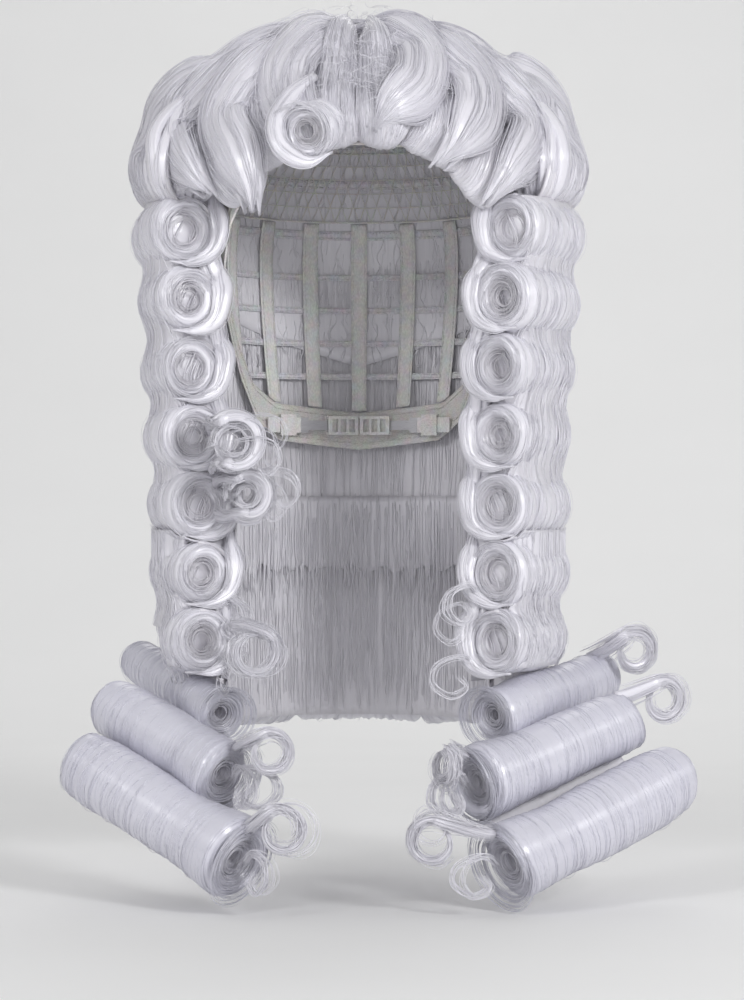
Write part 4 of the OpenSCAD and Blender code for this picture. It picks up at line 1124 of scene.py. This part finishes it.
# ------------------------------------------------------------------ flat hair under the curls
def fringe(bag, a0, a1, z_top, z_tip, seed, off=-20.2, dens=1.5):
    """Loose strand ends that hang on the inner side over the break between two sheets."""
    rng = np.random.default_rng(seed)
    n = int(abs(math.radians(a1 - a0)) * 90 * dens * DETAIL)
    m = 12
    t = np.linspace(0, 1, m)[None, :]
    tip = z_tip + rng.uniform(-8, 14, (n, 1))
    zz = z_top + rng.uniform(-10, 10, (n, 1)) * (1 - t) + (tip - z_top) * t
    aa = np.clip(rng.uniform(min(a0, a1), max(a0, a1), (n, 1)) + 0.8 * wander(rng, n, m, 3) * t, min(a0, a1), max(a0, a1))
    # painted shade: these strands are a little darker
    bag.strands(ring(aa, zz, off - 1.6 - 0.5 * rng.uniform(0, 1, (n, 1)) - 0.2 * t), rng.uniform(0.22, 0.38, n), rng, painted_shade=np.full((n, 1), 0.1))
    nu = int(abs(math.radians(a1 - a0)) * 90 / 1.4)
    a = np.linspace(a0, a1, nu)[:, None]
    low = z_tip + 9 + 3.0 * wander(rng, 1, nu, nu / 4)[0][:, None]
    zz = z_top + 8 + (low - z_top - 8) * np.linspace(0, 1, 12)[None, :]
    rip = 0.3 * np.abs(np.sin(np.pi * a / 2.2 + 0.4 * np.sin(zz * 0.1)))
    out, inn = ring(a, zz, off - 0.75), ring(a, zz, off - 1.25 - rip)
    uv = np.stack([np.broadcast_to(a * 1.57, zz.shape), zz, 0 * zz], -1)
    # painted shade: darker between the ridges, and on the back face
    bag.slab(inn, out, uv, uv, np.clip(0.4 - rip, 0, 1), np.full(zz.shape, 0.5))


def base_sheet(bag, a0, a1, z0, z1, seed, dens=1.0):
    rng = np.random.default_rng(seed)
    width = abs(math.radians(a1 - a0)) * 90
    nu = int(width / (1.6 / (0.5 + 0.5 * DETAIL)))
    nz = int(abs(z1 - z0) / 5)
    a = np.linspace(a0, a1, nu)[:, None]
    z = np.linspace(z0, z1, nz)[None, :]
    ph = rng.uniform(0, 6, 4)

    def wave(aa, zz):
        s = (aa - a0) * 1.57
        return 0.5 * np.abs(np.sin(np.pi * (s / 4.6 + 0.5 * np.sin(zz * 0.05 + ph[0]) + 0.3 * np.sin(s * 0.1 + ph[1])))) + 0.25 * np.sin(zz * 0.19 + s * 0.05 + ph[2])

    w = wave(a, z)
    out = ring(a, z, -17.6 - 0.2 * w)
    inn = ring(a, z, -18.9 - 0.7 * w)
    uv = np.stack([np.broadcast_to(a * 1.57, (nu, nz)), np.broadcast_to(z, (nu, nz)), np.zeros((nu, nz))], -1)
    # painted shade: the outer face gets a uniform strong darkening, the inner face one that follows the waves
    sh = 0.25 + 0.25 * ramp(z, z0 + 30, z0) + 0 * a
    bag.slab(out, inn, uv, uv, np.broadcast_to(0.6 + 0 * sh, (nu, nz)), np.clip(0.45 - 0.35 * w, 0, 1))
    n = int(width * 1.9 * dens * DETAIL)
    m = int(abs(z1 - z0) / 5) + 6
    t = np.linspace(0, 1, m)[None, :]
    zt = rng.uniform(z1 - 0.25 * (z1 - z0), z1, (n, 1))
    zb = rng.uniform(z0, z0 + 0.3 * (z1 - z0), (n, 1))
    zz = zt + (zb - zt) * t
    aa = rng.uniform(min(a0, a1) + 0.6, max(a0, a1) - 0.6, (n, 1)) + 0.9 * wander(rng, n, m, max(3, (z1 - z0) / 30))
    aa = np.clip(aa, min(a0, a1) + 0.3, max(a0, a1) - 0.3)
    P = ring(aa, zz, -19.0 - 0.7 * wave(aa, zz) - 0.15 - 0.25 * rng.uniform(0, 1, (n, 1)) - 0.2 * np.abs(wander(rng, n, m, 4)))
    # painted shade: the strands are slightly darker
    bag.strands(P, rng.uniform(0.2, 0.36, n), rng, painted_shade=np.full((n, 1), 0.15))


for s in (1, -1):
    nm = SIDES[s]
    b = Bag()
    base_sheet(b, *((60, 111.5) if s > 0 else (248.5, 300)), -140, 59, 3000 + s)
    fringe(b, *((60, 111.5) if s > 0 else (248.5, 300)), -128, -166, 3200 + s)
    b.build(f"hair_base_{nm}_hair", BASE, "wig", (f"hair_base_{nm}",))
    b = Bag()
    base_sheet(b, *((START[1] + 2, 111.5) if s > 0 else (248.5, 358 - START[-1])), -212, -141.5, 3010 + s)
    # the sheet that the lower rolls lie on
    rolls = ROLLS[s]
    n0 = np.cross(np.subtract(rolls[2][1], rolls[2][0]), np.subtract(rolls[2][0], rolls[1][0]))
    n0 = n0 / np.linalg.norm(n0)
    n0 = n0 * (1 if n0[1] > 0 else -1)
    rng = np.random.default_rng(3020 + s)
    nu, nj = 70, 14
    g = np.zeros((nu, nj, 3))
    pts = []
    for i in (2, 1):
        p0, p1, rad = np.array(rolls[i][0], float), np.array(rolls[i][1], float), rolls[i][2]
        pts.append([p0 + (p1 - p0) * (0.06 + 0.88 * e) + n0 * (rad + 0.8) for e in np.linspace(0, 1, nu)])
    lo, hi = np.array(pts[0]), np.array(pts[1])
    tj = np.linspace(0, 1, nj)[None, :, None]
    g = lo[:, None] * (1 - tj) + hi[:, None] * tj
    rip = 0.35 * np.abs(np.sin(np.linspace(0, 1, nu) * 60))[:, None, None] * n0
    uv = np.stack([np.broadcast_to(np.linspace(0, 110, nu)[:, None], (nu, nj)), np.broadcast_to(np.linspace(0, 40, nj)[None], (nu, nj)), np.zeros((nu, nj))], -1)
    o, i_ = g + rip, g + n0 * 1.6 + rip
    # painted shade: both faces of this sheet are darkened
    if s > 0:
        b.slab(o, i_, uv, uv, np.full((nu, nj), 0.3), np.full((nu, nj), 0.3))
    else:
        b.slab(i_, o, uv, uv, np.full((nu, nj), 0.3), np.full((nu, nj), 0.3))
    n = int(150 * DETAIL)
    e = rng.uniform(0, 1, n)
    t = np.linspace(0, 1, 12)[None, :, None]
    A = lo[0] + (lo[-1] - lo[0]) * e[:, None]
    B = hi[0] + (hi[-1] - hi[0]) * e[:, None]
    side = (lo[-1] - lo[0]) / np.linalg.norm(lo[-1] - lo[0])
    P = A[:, None] * (1 - t) + B[:, None] * t + side * wander(rng, n, 12, 3)[..., None] * 0.8 + n0 * (2.0 + 0.4 * rng.uniform(0, 1, (n, 1, 1)))
    b.strands(P, rng.uniform(0.2, 0.34, n), rng)
    b.build(f"fall_base_{nm}_hair", BASE, f"{nm}_fall", (f"fall_base_{nm}",))
for j, (a0, a1) in enumerate(((112.3, 157), (157.1, 202.9), (203, 247.7))):
    b = Bag()
    base_sheet(b, a0, a1, -140, 59, 3100 + j)
    fringe(b, a0, a1, -128, -168, 3210 + j)
    b.build(f"hair_base_back_{j + 1}_hair", BASE, "wig", ("hair_base_back",))
    b = Bag()
    base_sheet(b, a0, a1, -238, -141.5, 3110 + j)
    b.build(f"fall_base_back_{j + 1}_hair", BASE, "back_fall", ("fall_base_back",))


# ------------------------------------------------------------------ cap
def band(bag, phis, lo, hi, off0, off1, m, rib=0.0, seed=1):
    """A strip of cloth on the head with thicker rolled edges."""
    phis = np.asarray(phis, float)
    t = np.linspace(0, 1, m)[None, :]
    q = lo[:, None] * (1 - t) + hi[:, None] * t
    edge = np.exp(-((t / 0.09) ** 2)) + np.exp(-(((1 - t) / 0.09) ** 2))
    ripple = rib * np.sin(np.arange(len(phis)) * 1.5)[:, None]
    out = head(phis[:, None], q, off1 - 0.25 + 0.25 * edge + ripple * 0.5)
    inn = head(phis[:, None], q, off0 + 0.25 - 0.25 * edge + ripple)
    bag.slab(out, inn)


def stitches(bag, phis, q, off, rng, step=3.0, rad=0.26):
    """Short raised stitches along a line on the cap's inside."""
    P = head(phis, q, np.full(len(phis), off))
    L = np.concatenate([[0], np.cumsum(np.linalg.norm(np.diff(P, axis=0), axis=1))])
    n = int(L[-1] / step)
    if n < 2:
        return
    s = (np.arange(n) + 0.5) * step
    out = []
    for ds, lift in ((-0.36, 0.0), (-0.22, -0.3), (0, -0.42), (0.22, -0.3), (0.36, 0.0)):
        x = np.clip(s + ds * step, 0, L[-1])
        c = np.stack([np.interp(x, L, P[:, k]) for k in range(3)], -1)
        nrm = np.array([0, YC, ZC]) - c
        nrm /= np.linalg.norm(nrm, axis=1, keepdims=True)
        out.append(c - nrm * lift * 1.0 * -1 if False else c + nrm * (-lift))
    bag.strands(np.stack(out, 1), np.full(n, rad), rng, sides=4, taper=0.7)


rng = np.random.default_rng(4000)
p = np.linspace(-57, 57, 90)
b = Bag()
band(b, p, rim(p), band_top(p), 0.0, CAP, 12, rib=0.05)
stitches(b, p, rim(p) + 0.02, -0.02, rng)
stitches(b, p, band_top(p) - 0.02, -0.02, rng)
b.build("front_band_cloth", BAND, "wig", ("front_band",))
for s in (1, -1):
    p = s * np.linspace(57.6, 111.4, 60)
    p = p[::s] if s > 0 else p[::-1]
    b = Bag()
    band(b, p, rim(p), np.full(len(p), 0.165), 0.0, CAP, 16, rib=0.05)
    stitches(b, p, rim(p) + 0.03, -0.02, rng)
    stitches(b, p, np.full(len(p), 0.145), -0.02, rng)
    b.build(f"ear_tab_{SIDES[s]}_cloth", BAND, "wig", (f"ear_tab_{SIDES[s]}",))
p = np.linspace(112, 248, 110)
b = Bag()
top = np.minimum(rim(p) + 0.2, 0.1)
band(b, p, rim(p), top, 0.0, CAP, 12, rib=0.09)
stitches(b, p, rim(p) + 0.03, -0.05, rng)
stitches(b, p, top - 0.03, -0.05, rng)
b.build("nape_band_cloth", BAND, "wig", ("nape_band",))
b = Bag()
for a in range(120, 241, 20):
    p = np.linspace(a - 3.2, a + 3.2, 8)
    band(b, p, rim(p) + 0.208, np.full(8, 0.163), 0.0, CAP, 36)
    for d in (-2.3, 2.3):
        q = np.linspace(float(rim(a) + 0.23), 0.15, 40)
        stitches(b, np.full(40, a + d), q, -0.02, rng, step=2.6, rad=0.2)
b.build("back_ribbons_cloth", TAPE, "wig", ("back_ribbons",))
b = Bag()
rr = np.linspace(0, 1, 8)[None, :]
th = np.linspace(0, 360, 72, endpoint=False)[:, None]
q = 0.998 - 0.13 * rr
out = head(th, q, CAP - 0.1 + 0 * th)
inn = head(th, q, 0.1 + 0 * th * rr)
b.slab(out[:, ::-1], inn[:, ::-1], loop=True)
pp = np.linspace(0, 360, 120)
stitches(b, pp, np.full(120, 0.876), -0.02, rng, step=2.6)
b.build("crown_patch_cloth", BAND, "wig", ("crown_patch",))

# stretch net: threads that run up, round and across
b = Bag()
n = 72
pts = []
t = np.linspace(0, 1, 34)[None, :]
base = np.linspace(0, 360, n, endpoint=False)[:, None]
lo = band_top(base) + 0.006
for sgn in (1, -1):
    ph = base + sgn * 26 * t
    lo2 = band_top(ph)
    q = lo2 * (1 - t) + 0.86 * t
    b.strands(head(ph, q, 0.6 + sgn * 0.22 + 0 * q), np.full(n, 0.30), rng, sides=4, taper=1.0)
for k, tq in enumerate(np.linspace(0.0, 1.0, 13)):
    ph = np.linspace(0, 360, 140)
    q = band_top(ph) * (1 - tq) + 0.86 * tq
    b.strands(head(ph, q, 0.6)[None], np.full(1, 0.62 if k in (0, 12) else 0.32), rng, sides=6, taper=1.0)
b.build("crown_net_threads", NET, "wig", ("crown_net",))

# wefts: a stitched strip with the folded hair roots over it
b = Bag()
rows = [(q, 0, 360) for q in (0.45, 0.6, 0.75)] + [(0.3, 60, 300)] + [(q, a, 360 - a) for q, a in ((0.1, 62), (-0.08, 113), (-0.26, 116), (-0.44, 121), (-0.62, 126))]
for q, a0, a1 in rows:
    k = max(20, int((a1 - a0) / 2.0))
    ph = np.linspace(a0, a1, k)
    band(b, ph, np.full(k, q), np.full(k, q + 0.034), CAP + 0.25, CAP + 1.2, 6)
    for dq in (0.008, 0.026):
        stitches(b, ph, np.full(k, q + dq), CAP + 0.3, rng, step=3.2, rad=0.3)
b.build("weft_rows_cloth", WEFT, "wig", ("weft_rows",))

# hair roots behind the net, that close the view out through it
b = Bag()
n, m = int(1300 * DETAIL), 10
rng = np.random.default_rng(4100)
ph0 = rng.uniform(0, 360, (n, 1))
q0 = rng.uniform(0, 1, (n, 1))
t = np.linspace(0, 1, m)[None, :]
front = np.abs(((ph0 + 180) % 360) - 180) < 60
qlo = np.where(front, band_top(ph0) - 0.02, -0.55)
qq = qlo + (0.80 - qlo) * q0
q = np.clip(qq + 0.16 * (t - 0.5), qlo, 0.93)
P = head(ph0 + 1.6 * wander(rng, n, m, 3), q, 2.55 + 0.25 * rng.uniform(0, 1, (n, 1)) + 0 * t)
# painted shade: the roots are slightly darker
b.strands(P, rng.uniform(0.28, 0.45, n), rng, painted_shade=np.full((n, 1), 0.1))
na, nq = 120, 30
ph = np.linspace(0, 360, na, endpoint=False)[:, None]
f = np.abs(((ph + 180) % 360) - 180)
lo = np.where(f < 60, band_top(ph) - 0.03, np.interp(f, [60, 66, 110, 116, 180], [0.15, 0.12, 0.1, -0.3, -0.55]))
q = lo + (0.985 - lo) * np.linspace(0, 1, nq)[None, :]
rip = 0.12 * np.sin(np.radians(ph) * 60)
out = head(ph, q, 3.25 + 0 * q)
inn = head(ph, q, 2.85 + rip + 0 * q)
uv = np.stack([np.broadcast_to(ph * 1.5, (na, nq)), q * 120, 0 * q], -1)
# painted shade: the outer face is darkened, the inner face slightly
b.slab(out, inn, uv, uv, np.full((na, nq), 0.3), np.full((na, nq), 0.12), loop=True)
b.build("weft_roots_hair", BASE, "wig")

# nape adjuster: tape, keepers, straps and hooks keep their own solids, with stitched edges
for nm, mat in (("loop_tape", TAPE), ("strap_keeper_left", BAND), ("strap_keeper_right", BAND), ("strap_left", TAPE), ("strap_right", TAPE), ("hook_left", STEEL), ("hook_right", STEEL)):
    o = N[nm]
    o.data.materials.clear()
    o.data.materials.append(mat)

# ------------------------------------------------------------------ fly-aways
b = Bag()
rng = np.random.default_rng(5000)
n, m = int(260 * DETAIL), 26
ph0 = rng.uniform(-75, 75, n)
t = np.linspace(0, 1, m)[None, :]
q0 = rng.uniform(0.36, 0.8, n)[:, None]
ph = ph0[:, None] + 6 * wander(rng, n, m, 4)
q = np.clip(q0 + rng.uniform(-0.22, 0.22, (n, 1)) * t, 0.2, 0.95)
off = 30 + rng.uniform(0, 8, (n, 1)) + 4 * wander(rng, n, m, 3)
b.strands(head(ph, q, off), rng.uniform(0.09, 0.14, n), rng, taper=0.5)
b.build("crown_flyaways_hair", HAIR, "wig")

# ------------------------------------------------------------------ camera, light and floor
scene = bpy.context.scene
scene.view_settings.view_transform = "Standard"
cam_d = bpy.data.cameras.new("camera")
cam = bpy.data.objects.new("camera", cam_d)
scene.collection.objects.link(cam)
cam.location = (0.007, -1.75, -0.122)
cam.rotation_euler = (math.radians(90), 0, 0)
cam_d.sensor_width = 36
cam_d.sensor_height = 36
cam_d.lens = 122.7
cam_d.clip_end = 50
scene.camera = cam

w = bpy.data.worlds.new("studio")
scene.world = w
w.use_nodes = True
w.node_tree.nodes["Background"].inputs[0].default_value = (1.0, 1.0, 1.0, 1)
w.node_tree.nodes["Background"].inputs[1].default_value = 0.43


def area(name, loc, target, size, power, colour=(1, 1, 1)):
    d = bpy.data.lights.new(name, "AREA")
    d.shape = "SQUARE"
    d.size = size
    d.energy = power
    d.color = colour
    o = bpy.data.objects.new(name, d)
    scene.collection.objects.link(o)
    o.location = loc
    o.rotation_euler = (Vector(target) - Vector(loc)).to_track_quat("-Z", "Y").to_euler()
    return o


area("key", (1.0, -1.8, 0.5), (0, 0, -0.1), 0.36, 18.5)
area("fill", (-1.1, -1.7, 0.5), (0, 0, -0.1), 0.36, 8.5)
area("front", (0.0, -2.2, 0.0), (0, 0, -0.1), 0.8, 5)
area("back", (0.2, 1.5, 1.2), (0, 0, -0.1), 1.4, 7.5)

zf = float(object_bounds()[0][2]) - 0.001
me = bpy.data.meshes.new("floor")
S, Rr = 3.0, 0.8
prof = [(-3.0, 0.0), (1.2, 0.0)] + [(1.2 + Rr * math.sin(a), Rr - Rr * math.cos(a)) for a in np.linspace(0.1, math.pi / 2, 14)] + [(1.2 + Rr, 3.5)]
vs, fs = [], []
for i, (y, z) in enumerate(prof):
    vs += [(-S, y, zf + z), (S, y, zf + z)]
    if i:
        fs.append((2 * i - 2, 2 * i - 1, 2 * i + 1, 2 * i))
me.from_pydata(vs, [], fs)
me.polygons.foreach_set("use_smooth", [True] * len(fs))
floor = bpy.data.objects.new("floor", me)
scene.collection.objects.link(floor)
m, nt, bs = new_mat("floor_paper")
no = node(nt, "ShaderNodeTexNoise")
no.inputs["Scale"].default_value = 40
cr = node(nt, "ShaderNodeValToRGB")
cr.color_ramp.elements[0].color = (0.90, 0.90, 0.90, 1)
cr.color_ramp.elements[1].color = (0.93, 0.93, 0.93, 1)
nt.links.new(no.outputs["Fac"], cr.inputs[0])
nt.links.new(cr.outputs[0], bs.inputs["Base Color"])
bs.inputs["Roughness"].default_value = 0.9
# seen from behind, the paper is clear, so that it doesn't hide the wig's back
geo, clear, mix = node(nt, "ShaderNodeNewGeometry"), node(nt, "ShaderNodeBsdfTransparent"), node(nt, "ShaderNodeMixShader")
sink = [x for x in nt.nodes if x.bl_idname == "ShaderNodeOutputMaterial"][0]
nt.links.new(geo.outputs["Backfacing"], mix.inputs[0])
nt.links.new(bs.outputs[0], mix.inputs[1])
nt.links.new(clear.outputs[0], mix.inputs[2])
nt.links.new(mix.outputs[0], sink.inputs["Surface"])
me.materials.append(m)
